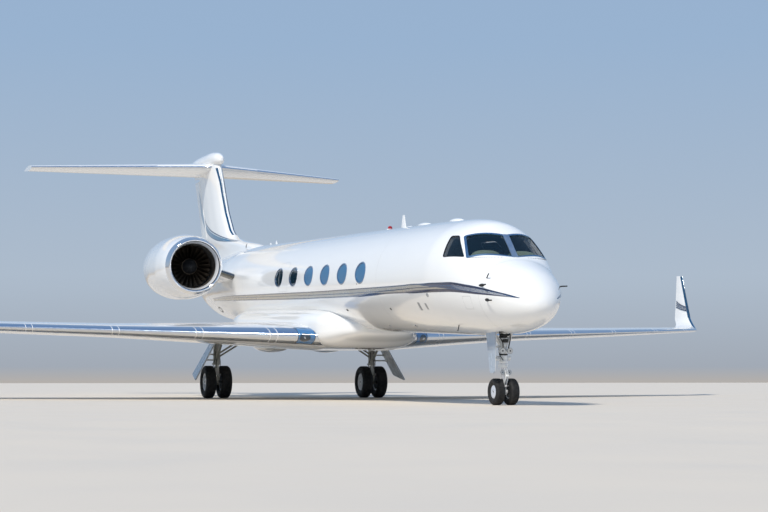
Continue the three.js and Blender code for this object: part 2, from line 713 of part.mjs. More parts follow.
const tailPlaneCutter = joined([
  shifted(stabilizerBlank, 0, -TOUCH, -TOUCH),
  shifted(stabilizerBlank, 0, -TOUCH, TOUCH),
  bulletCutter,
]);
const fin = finBlank.subtract(rudder.cutter).subtract(bodyCutter).subtract(tailPlaneCutter);

// Engines, drawn about their own axis with the inlet at zero, from profiles of [radius, place]
const NACELLE_OUTSIDE = [
  [700, 0], [738, 40], [795, 260], [865, 760], [918, 1500], [922, 2500], [860, 3900], [548, 5200],
];
const NACELLE_INSIDE = [[526, 5196], [652, 3900], [640, 1500], [622, 900], [604, 540], [640, 180], [672, 35]];
const CORE = [[0, 1145], [330, 1145], [430, 1440], [440, 3600], [300, 4300], [110, 4750], [0, 4800]];
const NACELLE_SIDES = 28;
const nacelle = turned([...NACELLE_OUTSIDE, ...NACELLE_INSIDE, NACELLE_OUTSIDE[0]], NACELLE_SIDES);
const nacelleBlock = turned(
  [[0, 0], ...NACELLE_OUTSIDE.map(([r, y]) => [r + TOUCH, y]), [0, 5200]],
  NACELLE_SIDES,
);

// Fan blades: root and tip as radius and chord, half the blade's thickness, pitch from the engine's axis.
const FAN = { blades: 18, place: 1020, pitch: 48, skin: 5, root: [160, 140], tip: [590, 235] };

// The engine is one plain block, held by struts that reach the duct's wall.
function engineCore() {
  const block = turned(CORE, 18);
  const turns = Array.from({ length: ENGINE.struts }, (_, index) => (index / ENGINE.struts) * 2 * Math.PI);
  const strut = box([-14, 1900, 380], [14, 2600, 700]);
  const struts = turns.map((turn) => moved(strut, new THREE.Matrix4().makeRotationY(turn)));
  const duct = [[640, 1500], [652, 3900]].map(([r, y]) => [r - TOUCH, y]);
  const space = turned([[0, 1500], ...duct, [0, 3900]], NACELLE_SIDES);
  return joined(struts).intersect(space).add(block);
}

function fanBlade() {
  const pitch = THREE.MathUtils.degToRad(FAN.pitch);
  const ring = ([radius, chord]) => {
    const [reach, skin] = [chord / 2, FAN.skin];
    const corners = [[-reach, -skin], [reach, -skin], [reach, skin], [-reach, skin]];
    return corners.map(([along, across]) => new THREE.Vector3(
      along * Math.sin(pitch) + across * Math.cos(pitch),
      FAN.place + along * Math.cos(pitch) - across * Math.sin(pitch),
      radius,
    ));
  };
  return loft([ring(FAN.root), ring(FAN.tip)]);
}

function fanSolid() {
  const hub = turned([[0, 710], [70, 760], [150, 850], [205, 940], [212, 1130], [0, 1130]], 18);
  const turns = Array.from({ length: FAN.blades }, (_, index) => (index / FAN.blades) * 2 * Math.PI);
  const blades = turns.map((turn) => moved(fanBlade(), new THREE.Matrix4().makeRotationY(turn)));
  return joined([hub, ...blades]);
}

function engineMatrix(side) {
  const turn = new THREE.Matrix4().makeRotationZ(side * ENGINE.toe);
  return new THREE.Matrix4().makeTranslation(side * ENGINE.x, ENGINE.y, ENGINE.z).multiply(turn);
}

const core = engineCore();
const fan = fanSolid();

const PYLON = [
  { x: 700, lead: 17500, trail: 21600, z: 123, thick: 0.075 },
  { x: 2300, lead: 17700, trail: 21300, z: 625, thick: 0.075 },
];
const pylon = loft(PYLON.map((row) => stabilizerRing(row))).subtract(moved(nacelleBlock, engineMatrix(1)));

// Cockpit
const panel = joined([
  box([-720, 1560, -620], [720, 1700, 150]),
  box([-760, 1360, 150], [760, 1760, 200]),
]).intersect(bodyTube(CUTS.nose, 3000, WALL + 30));

function pilotSeat(x) {
  return joined([
    box([x - 230, 2450, -330], [x + 230, 2950, -210]),
    box([x - 230, 2900, -330], [x + 230, 3030, 420]),
    box([x - 130, 2920, 400], [x + 130, 3010, 600]),
    box([x - 110, 2560, FLOOR_HEIGHT + TOUCH], [x + 110, 2860, -300]),
  ]);
}

// Gear, drawn upright on the ground
const airframeMatrix = new THREE.Matrix4()
  .makeTranslation(0, STANCE.noseY, STANCE.axisHeight)
  .multiply(new THREE.Matrix4().makeRotationX(STANCE.pitch));
const groundOf = (solid) => moved(solid, airframeMatrix);

// A tyre's ring about X: side wall and tread points as shares of the wall height and half width.
function tyre(gear) {
  const wall = gear.radius - gear.rim - TOUCH;
  const half = gear.width / 2;
  const inner = gear.rim + TOUCH;
  const right = [[0, 0.66], [0.28, 0.96], [0.78, 0.94], [1, 0.5]];
  const side = right.map(([high, wide]) => [inner + high * wall, wide * half]);
  const profile = [...side, ...side.map(([r, y]) => [r, -y]).reverse()];
  return turned([...profile, profile[0]], WHEEL_SIDES, true);
}

// Both wheels' rims and discs, open outwards, and their axle, turned as one profile about X
function hubPair(gear, axle) {
  const half = gear.width / 2;
  const { rim, spread } = gear;
  const right = [
    [axle, spread - half * 0.34], [rim, spread - half * 0.62], [rim, spread + half * 0.62],
    [rim * 0.86, spread + half * 0.62], [rim * 0.8, spread + half * 0.2], [rim * 0.4, spread + half * 0.28],
    [rim * 0.34, spread + half * 0.64], [0, spread + half * 0.66],
  ];
  return turned([...right.map(([r, x]) => [r, -x]).reverse(), ...right], WHEEL_SIDES, true);
}

const MAIN_AXLE = 40;
const NOSE_AXLE = 28;
const RUNNING = 7;
const mainTyre = tyre(MAIN_GEAR);
const noseTyre = tyre(NOSE_GEAR);
const mainHubs = hubPair(MAIN_GEAR, MAIN_AXLE);
const noseHubs = hubPair(NOSE_GEAR, NOSE_AXLE);

const wingCutter = shifted(groundOf(wingBlank), 0, 0, -TOUCH);

function mainStrut(grow) {
  const { x, y } = MAIN_GEAR;
  return bar([x, y - 60, 1690], [x, y - 25, 890], 92 + grow);
}

function mainLeg() {
  const { x, y, radius } = MAIN_GEAR;
  const pieces = [
    mainStrut(0),
    bar([x, y - 25, 900], [x, y, radius], 52),
    bar([x - 60, y, radius], [x + 60, y, radius], 78),
    bar([x, y - 25, 885], [x, y - 25, 935], 118),
    bar([x, y - 50, 1150], [x - 720, y - 80, 1600], 24, 24, 8),
    bar([x, y - 50, 1060], [x - 720, y - 80, 1510], 24, 24, 8),
    bar([x, y - 50, 1000], [x + 40, y - 820, 1560], 34, 34, 10),
    bar([x, y + 50, 900], [x, y + 200, 690], 24, 24, 8),
    bar([x, y + 200, 700], [x, y + 20, 500], 24, 24, 8),
  ];
  return joined(pieces)
    .subtract(wingCutter)
    .subtract(bar([x - 200, y, radius], [x + 200, y, radius], MAIN_AXLE + RUNNING));
}

function slab(corners, thickness) {
  const points = pointsOf(corners);
  const normal = points[1].clone().sub(points[0]).cross(points[2].clone().sub(points[0]));
  return prism(points, normal, thickness / 2, thickness / 2);
}

function mainDoor() {
  const { x, y } = MAIN_GEAR;
  const [top, foot] = [{ x: x + 77, z: 1640 }, { x: x + 732, z: 470 }];
  const plateX = (z) => top.x + ((top.z - z) / (top.z - foot.z)) * (foot.x - top.x);
  const plate = slab([
    [top.x, y - 590, top.z], [top.x, y - 60, top.z], [plateX(620), y - 35, 620], [foot.x, y - 705, foot.z],
  ], 36);
  const arms = [1160, 1010].map((z) => bar([x, y - 50, z], [plateX(z), y - 90, z], 22, 22, 8));
  return joined([plate, ...arms]).subtract(wingCutter).subtract(mainStrut(TOUCH));
}

const fuselageOnGround = shifted(groundOf(bodyTube(CUTS.nose, CUTS.front).subtract(noseBay)), 0, 0, -TOUCH);
const PISTON = 46;

function noseLegUpper() {
  const { y } = NOSE_GEAR;
  return joined([
    bar([0, y, 1590], [0, y, 800], 78, 78, 20),
    bar([-250, y, 1480], [250, y, 1480], 40, 40, 12),
    bar([0, y, 1000], [0, y + 620, 1560], 36, 36, 12),
    box([-130, y - 130, 1010], [130, y - 60, 1060]),
  ])
    .subtract(bar([0, y, 700], [0, y, 1010], PISTON + 8))
    .subtract(fuselageOnGround);
}

function noseLegLower() {
  const { y, radius } = NOSE_GEAR;
  return joined([
    bar([0, y, 960], [0, y, radius], PISTON),
    bar([0, y, 715], [0, y, 790], 100, 100, 20),
    bar([-44, y, radius], [44, y, radius], 58, 58, 20),
    bar([0, y - 60, 740], [0, y - 170, 560], 20, 20, 10),
    bar([0, y - 170, 560], [0, y - 30, 360], 20, 20, 10),
  ]).subtract(bar([-200, y, radius], [200, y, radius], NOSE_AXLE + RUNNING));
}

function noseDoor() {
  const { y } = NOSE_GEAR;
  const plate = slab([
    [-300, y - 330, 1560], [-300, y + 150, 1560], [-330, y - 130, 610], [-330, y - 330, 610],
  ], 34);
  const arms = [1120, 880].map((z) => bar([-80, y - 12, z], [-318, y - 120, z], 20, 20, 8));
  return joined([plate, ...arms]).subtract(fuselageOnGround);
}

// Scene
const jet = new THREE.Group();
jet.name = "jet";
const airframe = new THREE.Group();
airframe.rotation.x = STANCE.pitch;
airframe.position.set(0, STANCE.noseY, STANCE.axisHeight);
jet.add(airframe);

function add(group, name, solid, material, position = [0, 0, 0]) {
  const mesh = new THREE.Mesh(geometryOf(solid), material);
  mesh.name = name;
  mesh.position.set(...position);
  group.add(mesh);
}

function addPair(group, name, solid, material) {
  add(group, `${name}_left`, solid, material);
  add(group, `${name}_right`, mirrored(solid), material);
}

add(airframe, "nose_cone", noseCone, WHITE);
add(airframe, "forward_fuselage", forwardShell, WHITE);
add(airframe, "cabin_fuselage", cabinShell, WHITE);
add(airframe, "aft_fuselage", aftShell, WHITE);
add(airframe, "tail_cone", tailCone, WHITE);
add(airframe, "belly_fairing", bellyFairing, WHITE);
add(airframe, "entry_door", entryDoor, WHITE);
add(airframe, "baggage_door", baggageDoor, WHITE);
addPair(airframe, "windshield", windshield, GLASS);
addPair(airframe, "cockpit_window", cockpitWindow, GLASS);
addPair(airframe, "cabin_glazing", cabinGlazing, GLASS);
add(airframe, "instrument_panel", panel, DARK);
add(airframe, "pilot_seat_left", pilotSeat(430), LEATHER);
add(airframe, "pilot_seat_right", pilotSeat(-430), LEATHER);

add(airframe, "wing_left", wing.subtract(fairingCutter), WING_GREY);
add(airframe, "wing_right", mirrored(wing).subtract(fairingCutter), WING_GREY);
addPair(airframe, "winglet", winglet, WHITE);
addPair(airframe, "flap", flap.surface, WING_GREY);
addPair(airframe, "aileron", aileron.surface, WING_GREY);
addPair(airframe, "spoilers", spoilers, WING_GREY);

add(airframe, "fin", fin, WHITE);
add(airframe, "rudder", rudder.surface, WHITE);
add(airframe, "stabilizer", stabilizer, WHITE);
addPair(airframe, "elevator", elevator.surface, WHITE);
add(airframe, "bullet_fairing", bullet, WHITE);

for (const [name, side] of [["left", 1], ["right", -1]]) {
  const engine = new THREE.Group();
  engine.position.set(side * ENGINE.x, ENGINE.y, ENGINE.z);
  engine.rotation.z = side * ENGINE.toe;
  airframe.add(engine);
  add(engine, `nacelle_${name}`, nacelle, WHITE);
  add(engine, `engine_core_${name}`, core, TITANIUM);
  add(engine, `fan_${name}`, fan, TITANIUM);
}
add(airframe, "pylon_left", pylon.subtract(bodyCutter), WHITE);
add(airframe, "pylon_right", mirrored(pylon).subtract(bodyCutter), WHITE);

add(jet, "nose_leg_upper", noseLegUpper(), WHITE);
add(jet, "nose_leg_lower", noseLegLower(), WHITE);
add(jet, "nose_gear_door", noseDoor(), WHITE);
const noseWheelSpot = [0, NOSE_GEAR.y, NOSE_GEAR.radius];
add(jet, "nose_hubs", noseHubs, HUB, noseWheelSpot);
for (const [name, side] of [["left", 1], ["right", -1]]) {
  add(jet, `nose_tyre_${name}`, noseTyre, RUBBER, [side * NOSE_GEAR.spread, NOSE_GEAR.y, NOSE_GEAR.radius]);
}
addPair(jet, "main_leg", mainLeg(), WHITE);
addPair(jet, "main_gear_door", mainDoor(), WHITE);
for (const [name, side] of [["left", 1], ["right", -1]]) {
  const spot = [side * MAIN_GEAR.x, MAIN_GEAR.y, MAIN_GEAR.radius];
  add(jet, `main_hubs_${name}`, mainHubs, HUB, spot);
  for (const [place, step] of [["outer", 1], ["inner", -1]]) {
    const x = side * (MAIN_GEAR.x + step * MAIN_GEAR.spread);
    add(jet, `main_tyre_${name}_${place}`, mainTyre, RUBBER, [x, MAIN_GEAR.y, MAIN_GEAR.radius]);
  }
}

export default jet;
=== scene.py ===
"""Looks of a business jet parked on its gear. Numbers are millimetres unless a name says otherwise.

The airframe is drawn level, X to port, Y aft from the nose tip and Z above the body's axis, and AIR places
it as the jet stands. The gear is drawn upright on the ground.
"""
import math

import bmesh
import bpy
import numpy as np
from mathutils import Matrix, Vector
from mathutils.bvhtree import BVHTree
from mathutils.interpolate import poly_3d_calc


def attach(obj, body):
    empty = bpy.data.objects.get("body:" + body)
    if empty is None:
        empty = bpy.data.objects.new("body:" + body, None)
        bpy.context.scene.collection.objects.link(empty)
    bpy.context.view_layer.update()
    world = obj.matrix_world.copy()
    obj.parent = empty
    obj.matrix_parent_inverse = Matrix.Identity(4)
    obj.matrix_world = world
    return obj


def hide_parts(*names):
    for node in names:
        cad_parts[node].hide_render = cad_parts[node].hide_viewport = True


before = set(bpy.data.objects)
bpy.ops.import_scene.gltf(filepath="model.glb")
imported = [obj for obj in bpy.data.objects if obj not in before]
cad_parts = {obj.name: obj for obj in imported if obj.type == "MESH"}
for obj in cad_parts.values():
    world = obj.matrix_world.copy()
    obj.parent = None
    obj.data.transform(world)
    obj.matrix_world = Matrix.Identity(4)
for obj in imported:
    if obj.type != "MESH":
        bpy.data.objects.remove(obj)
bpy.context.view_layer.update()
scene = bpy.context.scene

# Camera, in metres and degrees
CAMERA = {"spot": (-13.128, -42.115, 0.487), "tilt": 94.277, "heading": -20.074, "lens": 77.58,
          "sensor": 36}
camera_data = bpy.data.cameras.new("camera")
camera_data.lens = CAMERA["lens"]
camera_data.sensor_width = CAMERA["sensor"]
camera = bpy.data.objects.new("camera", camera_data)
camera.location = CAMERA["spot"]
camera.rotation_euler = (math.radians(CAMERA["tilt"]), 0, math.radians(CAMERA["heading"]))
scene.collection.objects.link(camera)
scene.camera = camera

# Driving dimensions, as in the part's source
MM = 0.001
PORT, STARBOARD = 1, -1
SIDES = {"left": PORT, "right": STARBOARD}
TOUCH = 0.3
PITCH = math.radians(2.3)
AIR = Matrix.Translation((0, -14.695, 2.407)) @ Matrix.Rotation(PITCH, 4, "X")
GROUND = Matrix.Identity(4)
WALL = 90
FLOOR = -790
# Deeper than this under the skin a face belongs to the inside, and a floor face is this near the floor
INSIDE_DEPTH = 60
FLOOR_NEAR = 4
COCKPIT_END = 3400
# Plans reach this far to port, and the glazing's layers lie between these places
PLAN_REACH = 1400
GLAZED = (1100, 2700)
# How far paint lies over the skin and reaches under it, and where the polished edges end
PAINT_LIFT = 1.6
UNDER_SKIN = 4
STABILIZER_EDGE = 34
PYLON_EDGE = 260
CUTS = {"nose": 1050, "front": 5750, "rear": 16600, "tail": 22300, "end": 26160}
DOOR = {"front": 3870, "rear": 4780, "sill": -790, "head": 780, "gap": 10, "corner": 130,
        "near": 500}
STAIR = {"steps": 6, "width": 620, "back": 870, "sink": 80, "tilt": math.radians(50)}
BAGGAGE = {"front": 17250, "rear": 18150, "sill": -640, "head": 80, "gap": 8, "corner": 110,
           "near": 700}
# The panes before the "blue" count take blue glass, a painted reflection of the sky; the rest take dark glass,
# a painted darker reflection
PORTHOLE = {"count": 6, "first": 6800, "pitch": 1262, "height": 150, "length": 660, "tall": 460,
            "near": 700, "blue": 4}
ENGINE = {"x": 2440, "y": 16920, "z": 525, "toe": math.radians(3.5)}
MAIN_GEAR = {"x": 2185, "y": 825, "spread": 212, "radius": 430, "rim": 230, "width": 279, "axle": 40}
NOSE_GEAR = {"x": 0, "y": -12895, "spread": 150, "radius": 257, "rim": 128, "width": 184, "axle": 28}
NOSE_BAY = {"half": 300, "front": 1180, "rear": 2650, "roof": -880}
SURFACE_GAP = 15
NOSE_SHARE = 0.97
CUT_REACH = 2400
CUT_HEIGHT = 900
TURN = {"flap": 39, "aileron": 11, "rudder": 22, "elevator": 24}

# Fuselage sections: place, half width, top, bottom and middle height
BODY = [
    (0, 20, -540, -560, -550), (30, 155, -415, -668, -545), (100, 280, -300, -760, -530),
    (300, 470, -100, -890, -470), (600, 660, 100, -1000, -380), (1050, 845, 296, -1084, -270),
    (1240, 900, 373, -1105, -230), (1460, 960, 575, -1122, -187), (1680, 1015, 776, -1135, -145),
    (1890, 1055, 930, -1142, -110), (2100, 1090, 1050, -1145, -80), (2500, 1140, 1135, -1150, -40),
    (3000, 1180, 1170, -1150, 0), (4700, 1195, 1190, -1150, 0), (17500, 1195, 1190, -1150, 0),
    (19000, 1150, 1170, -1110, 20), (20600, 1020, 1100, -1020, 50), (22200, 840, 1000, -900, 80),
    (23400, 680, 900, -720, 120), (24600, 500, 790, -450, 180), (25500, 360, 680, -170, 240),
    (26160, 250, 580, 60, 310),
]
# Belly fairing sections, in the same columns
FAIRING = [
    (8300, 500, -900, -1170, -1040), (8900, 950, -760, -1380, -1080), (9700, 1270, -640, -1570, -1100),
    (11000, 1380, -600, -1640, -1120), (13850, 1400, -600, -1700, -1140), (16300, 1380, -620, -1700, -1140),
    (17600, 1180, -700, -1540, -1100), (18600, 640, -860, -1180, -1020),
]
FAIRING_POWER = 3.4
# Wheel bulge sections: place, half width, top and bottom
WHEEL_BULGE = [
    (14150, 60, -1600, -1690), (14500, 260, -1560, -1760), (15250, 330, -1540, -1805),
    (16000, 260, -1560, -1760), (16350, 60, -1600, -1680),
]
WHEEL_BULGE_X = 760
# Half thickness of an aerofoil of thickness one, at shares of its chord
FOIL = [
    (0, 0), (0.012, 0.15), (0.045, 0.27), (0.12, 0.395), (0.26, 0.485), (0.42, 0.49), (0.58, 0.425),
    (0.72, 0.315), (0.86, 0.175), (1, 0.02),
]
# Wing sections: place, leading and trailing edge, their heights, and thickness
WING = [
    (900, 9394, 16670, -1300, -1330, 0.099), (5400, 12252, 17000, -1228, -1265, 0.078),
    (8600, 14284, 17800, -1176, -1226, 0.084), (13600, 17459, 19050, -1093, -1063, 0.0927),
]
FLAP = {"inner": 1620, "outer": 8560, "inner_at": 15550, "outer_at": 16843}
AILERON = {"inner": 8700, "outer": 12500, "at": 0.77}
SPOILER = {"inner": 2900, "outer": 8300, "front": 900, "back": 190, "panels": 3, "skin": 28, "recess": 66}
SPOILER_GAP = 12
# Winglet sections: the wing's columns, with the lean before the thickness
WINGLET = [
    (13600, 17459, 19050, -1093, -1063, 0, 0.0927), (13800, 17790, 19150, -1056, -1036, 30, 0.087),
    (13960, 18230, 19330, -930, -925, 66, 0.08), (14070, 18620, 19590, -720, -720, 75, 0.075),
    (14240, 19440, 19790, 630, 640, 75, 0.07),
]
# Fin: leading edge with its fillet, and sections of height, leading and trailing edge, and thickness
FIN_LEAD = [
    (700, 17900), (1000, 18250), (1180, 18650), (1268, 19171), (1422, 20797), (1556, 21641), (1804, 22265),
    (2404, 22903), (3546, 23669), (4030, 24046),
]
FIN = [
    (700, 21120, 25560, 0.115), (1540, 22010, 26050, 0.115), (2400, 22890, 26560, 0.114),
    (4030, 24046, 27518, 0.1),
]
RUDDER = {"low": 1330, "high": 3600, "at": 0.71}
# Stabilizer and pylon sections: place, leading and trailing edge, height and thickness
STABILIZER = [(0, 24370, 28480, 3937, 0.098), (5380, 28085, 29850, 4014, 0.095)]
ELEVATOR = {"inner": 420, "outer": 5020, "at": 0.72}
PYLON = [(700, 17500, 21600, 123, 0.075), (2300, 17700, 21300, 625, 0.075)]
# Tail bullet sections: place, half width, top and bottom
BULLET = [
    (23740, 30, 4180, 4100), (23860, 110, 4280, 4010), (24250, 190, 4395, 3975), (24900, 230, 4450, 3960),
    (26300, 235, 4415, 3950), (27600, 180, 4310, 3950), (28400, 70, 4180, 4030),
]
WINDSHIELD = [(58, 1243, 374), (58, 1692, 784), (690, 2030, 764), (805, 1614, 362)]
SIDE_WINDOW = [(745, 2212, 778), (805, 2473, 784), (1039, 2335, 368), (859, 1698, 354)]
WINDSHIELD_FACING = (0.36, -0.63, 0.69)
SIDE_WINDOW_FACING = (0.83, -0.3, 0.47)
PORT_FACING = (1, 0, 0)
UPWARD = (0, 0, 1)


# Curves
def smooth_through(places, values):
    """A curve through the points that never overshoots them."""
    places, values = np.asarray(places, float), np.asarray(values, float)
    step = np.diff(places)
    slope = np.diff(values) / step
    tangent = np.zeros_like(values)
    tangent[0], tangent[-1] = slope[0], slope[-1]
    ahead, behind = slope[1:], slope[:-1]
    same = ahead * behind > 0
    near, far = 2 * step[1:] + step[:-1], step[1:] + 2 * step[:-1]
    weighed = near[same] / behind[same] + far[same] / ahead[same]
    tangent[1:-1][same] = (near + far)[same] / weighed

    def curve(place):
        place = np.asarray(place, float)
        index = np.clip(np.searchsorted(places, place, side="right") - 1, 0, len(step) - 1)
        share = (place - places[index]) / step[index]
        rise = share * share * (3 - 2 * share)
        lean = share * (1 - share) ** 2 * tangent[index] - share**2 * (1 - share) * tangent[index + 1]
        return values[index] * (1 - rise) + values[index + 1] * rise + step[index] * lean

    return curve


def column_curves(table):
    """One curve for each column after the first. They run over the root of the place, so a nose is round."""
    rows = np.array(table, float)
    start = rows[0, 0]
    curves = [smooth_through(np.sqrt(rows[:, 0] - start), column) for column in rows.T[1:]]
    return lambda at: [curve(np.sqrt(np.maximum(np.asarray(at, float) - start, 0))) for curve in curves]


def row_at(table, place):
    """A table's columns at a place between two of its rows, or past its ends on the same line."""
    rows = np.array(table, float)
    index = int(np.clip(np.searchsorted(rows[:, 0], place, side="right") - 1, 0, len(rows) - 2))
    share = (place - rows[index, 0]) / (rows[index + 1, 0] - rows[index, 0])
    return rows[index, 1:] + share * (rows[index + 1, 1:] - rows[index, 1:])


body_section = column_curves(BODY)
fairing_section = column_curves(FAIRING)
foil_half_root = smooth_through(np.sqrt([share for share, _ in FOIL]), [half for _, half in FOIL])


def foil_half(share):
    return foil_half_root(np.sqrt(share))


# Points and solids
def turns_of(count):
    """Angles that share out one whole turn."""
    return np.arange(count) / count * 2 * math.pi


def flat_ring(at, across, up):
    return np.stack([across, np.full(len(across), at), up], 1)


def level_ring(across, along, height):
    return np.stack([across, along, np.full(len(across), height)], 1)


def placed(points, side=PORT, matrix=AIR):
    spots = np.asarray(points, float).reshape(-1, 3) * (side * MM, MM, MM)
    turn = np.array(matrix)
    return spots @ turn[:3, :3].T + turn[:3, 3]


def levelled(points):
    """World points in metres, back in the level airframe's millimetres."""
    turn = np.array(AIR.inverted())
    return (np.asarray(points) @ turn[:3, :3].T + turn[:3, 3]) / MM


def solid(name, points, faces, side=PORT, matrix=AIR):
    mesh = bpy.data.meshes.new(name)
    mesh.from_pydata(placed(points, side, matrix).tolist(), [], faces)
    form = bmesh.new()
    form.from_mesh(mesh)
    bmesh.ops.recalc_face_normals(form, faces=form.faces)
    form.to_mesh(mesh)
    form.free()
    piece = bpy.data.objects.new(name, mesh)
    scene.collection.objects.link(piece)
    return piece


def grid_faces(rows, count, wrap=True, base=0):
    ends = range(count if wrap else count - 1)
    return [
        (base + row * count + spot, base + row * count + (spot + 1) % count,
         base + (row + 1) * count + (spot + 1) % count, base + (row + 1) * count + spot)
        for row in range(rows - 1) for spot in ends
    ]


def closed_grid(rows, count):
    """The grid's faces with its last row joined to its first."""
    last = (rows - 1) * count
    seam = [(last + spot, last + (spot + 1) % count, (spot + 1) % count, spot) for spot in range(count)]
    return grid_faces(rows, count) + seam


def loft(name, rings, side=PORT, matrix=AIR):
    rings = np.asarray(rings, float)
    rows, count = rings.shape[:2]
    caps = [list(range(count)), list(range((rows - 1) * count, rows * count))]
    return solid(name, rings, grid_faces(rows, count) + caps, side, matrix)


def unit(vector):
    vector = np.asarray(vector, float)
    return vector / np.linalg.norm(vector, axis=-1, keepdims=True)


def prism(name, outline, facing, ahead, behind, side=PORT, matrix=AIR):
    outline = np.asarray(outline, float)
    along = unit(facing)
    return loft(name, [outline - along * behind, outline + along * ahead], side, matrix)


def block(name, low, high, side=PORT, matrix=AIR):
    (x0, y0, z0), (x1, y1, z1) = low, high
    ring = [(x0, y0), (x1, y0), (x1, y1), (x0, y1)]
    return loft(name, [[(x, y, z) for x, y in ring] for z in (z0, z1)], side, matrix)


def rounded(corners, radius, steps=8):
    """A closed outline with its corners rounded."""
    corners = np.asarray(corners, float)
    share = np.linspace(0, 1, steps + 1)[:, None]
    arcs = []
    for before, corner, after in zip(np.roll(corners, 1, 0), corners, np.roll(corners, -1, 0)):
        start = corner + unit(before - corner) * radius
        end = corner + unit(after - corner) * radius
        arcs.append((1 - share) ** 2 * start + 2 * share * (1 - share) * corner + share**2 * end)
    return np.concatenate(arcs)


def drawn_in(outline, gap):
    middle = outline.mean(0)
    reach = np.linalg.norm(outline - middle, axis=1, keepdims=True)
    return outline + (middle - outline) * gap / reach


def bar_tool(start, end, radius, end_radius=None, sides=32, matrix=AIR):
    return loft("bar", bar_rings(start, end, radius, end_radius, sides), PORT, matrix)


def bar_rings(start, end, radius, end_radius=None, sides=32):
    start, end = np.array(start, float), np.array(end, float)
    along = unit(end - start)
    across = unit(np.cross(along, (0, 0, 1) if abs(along[2]) < 0.9 else (1, 0, 0)))
    over = np.cross(along, across)
    angle = turns_of(sides)[:, None]
    circle = across * np.cos(angle) + over * np.sin(angle)
    return np.array([start + circle * radius, end + circle * (end_radius or radius)])


def changed(piece, how, *tools):
    """The piece with solids taken away, kept or joined on."""
    for tool in tools:
        step = piece.modifiers.new(how, "BOOLEAN")
        step.operation, step.solver, step.object = how, "MANIFOLD", tool
    graph = bpy.context.evaluated_depsgraph_get()
    mesh = bpy.data.meshes.new_from_object(piece.evaluated_get(graph))
    piece.modifiers.clear()
    piece.data = mesh
    return piece


def cut(piece, *tools):
    return changed(piece, "DIFFERENCE", *tools)


def kept_in(piece, *tools):
    return changed(piece, "INTERSECT", *tools)


def copied(piece, name, shift=(0, 0, 0)):
    """The same mesh as a new piece, moved by millimetres in the airframe's axes."""
    twin = bpy.data.objects.new(name, piece.data.copy())
    twin.data.transform(Matrix.Translation(AIR.to_3x3() @ Vector(shift) * MM))
    scene.collection.objects.link(twin)
    return twin


# Shading: a cut piece takes its normals from the smooth surface that it was cut from
class Skin:
    def __init__(self, grid, side=PORT, matrix=AIR, wrap=False):
        rows, count = np.shape(grid)[:2]
        spots = placed(grid, side, matrix).reshape(rows, count, 3)
        down = np.gradient(spots, axis=0)
        around = np.roll(spots, -1, 1) - np.roll(spots, 1, 1) if wrap else np.gradient(spots, axis=1)
        normals = np.cross(down, around)
        normals /= np.maximum(np.linalg.norm(normals, axis=2, keepdims=True), 1e-12)
        outward = np.sum(normals * (spots - spots.mean(1, keepdims=True)))
        self.normals = [Vector(row) for row in (normals * np.sign(outward)).reshape(-1, 3)]
        self.spots = [Vector(row) for row in spots.reshape(-1, 3)]
        self.faces = grid_faces(rows, count, wrap)
        self.tree = BVHTree.FromPolygons(self.spots, self.faces)

    def at(self, spot, reach):
        """The smooth normal nearest to a point, and how far off the surface is."""
        near, _, index, distance = self.tree.find_nearest(spot, reach)
        if near is None:
            return None, math.inf
        corners = self.faces[index]
        weights = poly_3d_calc([self.spots[corner] for corner in corners], near)
        normal = sum((self.normals[corner] * weight for corner, weight in zip(corners, weights)), Vector())
        return normal.normalized(), distance


def shade(piece, *skins, reach=0.1, crease=32):
    mesh = piece.data
    mesh.polygons.foreach_set("use_smooth", [True] * len(mesh.polygons))
    mesh.set_sharp_from_angle(angle=math.radians(crease))
    if not skins:
        return piece
    found = [min((skin.at(vertex.co, reach) for skin in skins), key=lambda hit: hit[1])[0]
             for vertex in mesh.vertices]
    normals = np.zeros((len(mesh.loops), 3))
    for face in mesh.polygons:
        for corner, vertex in zip(face.loop_indices, face.vertices):
            normal = found[vertex]
            lean = normal.dot(face.normal) if normal else 0
            if abs(lean) > 0.8:
                normals[corner] = normal * math.copysign(1, lean)
    mesh.normals_split_custom_set(normals.tolist())
    return piece


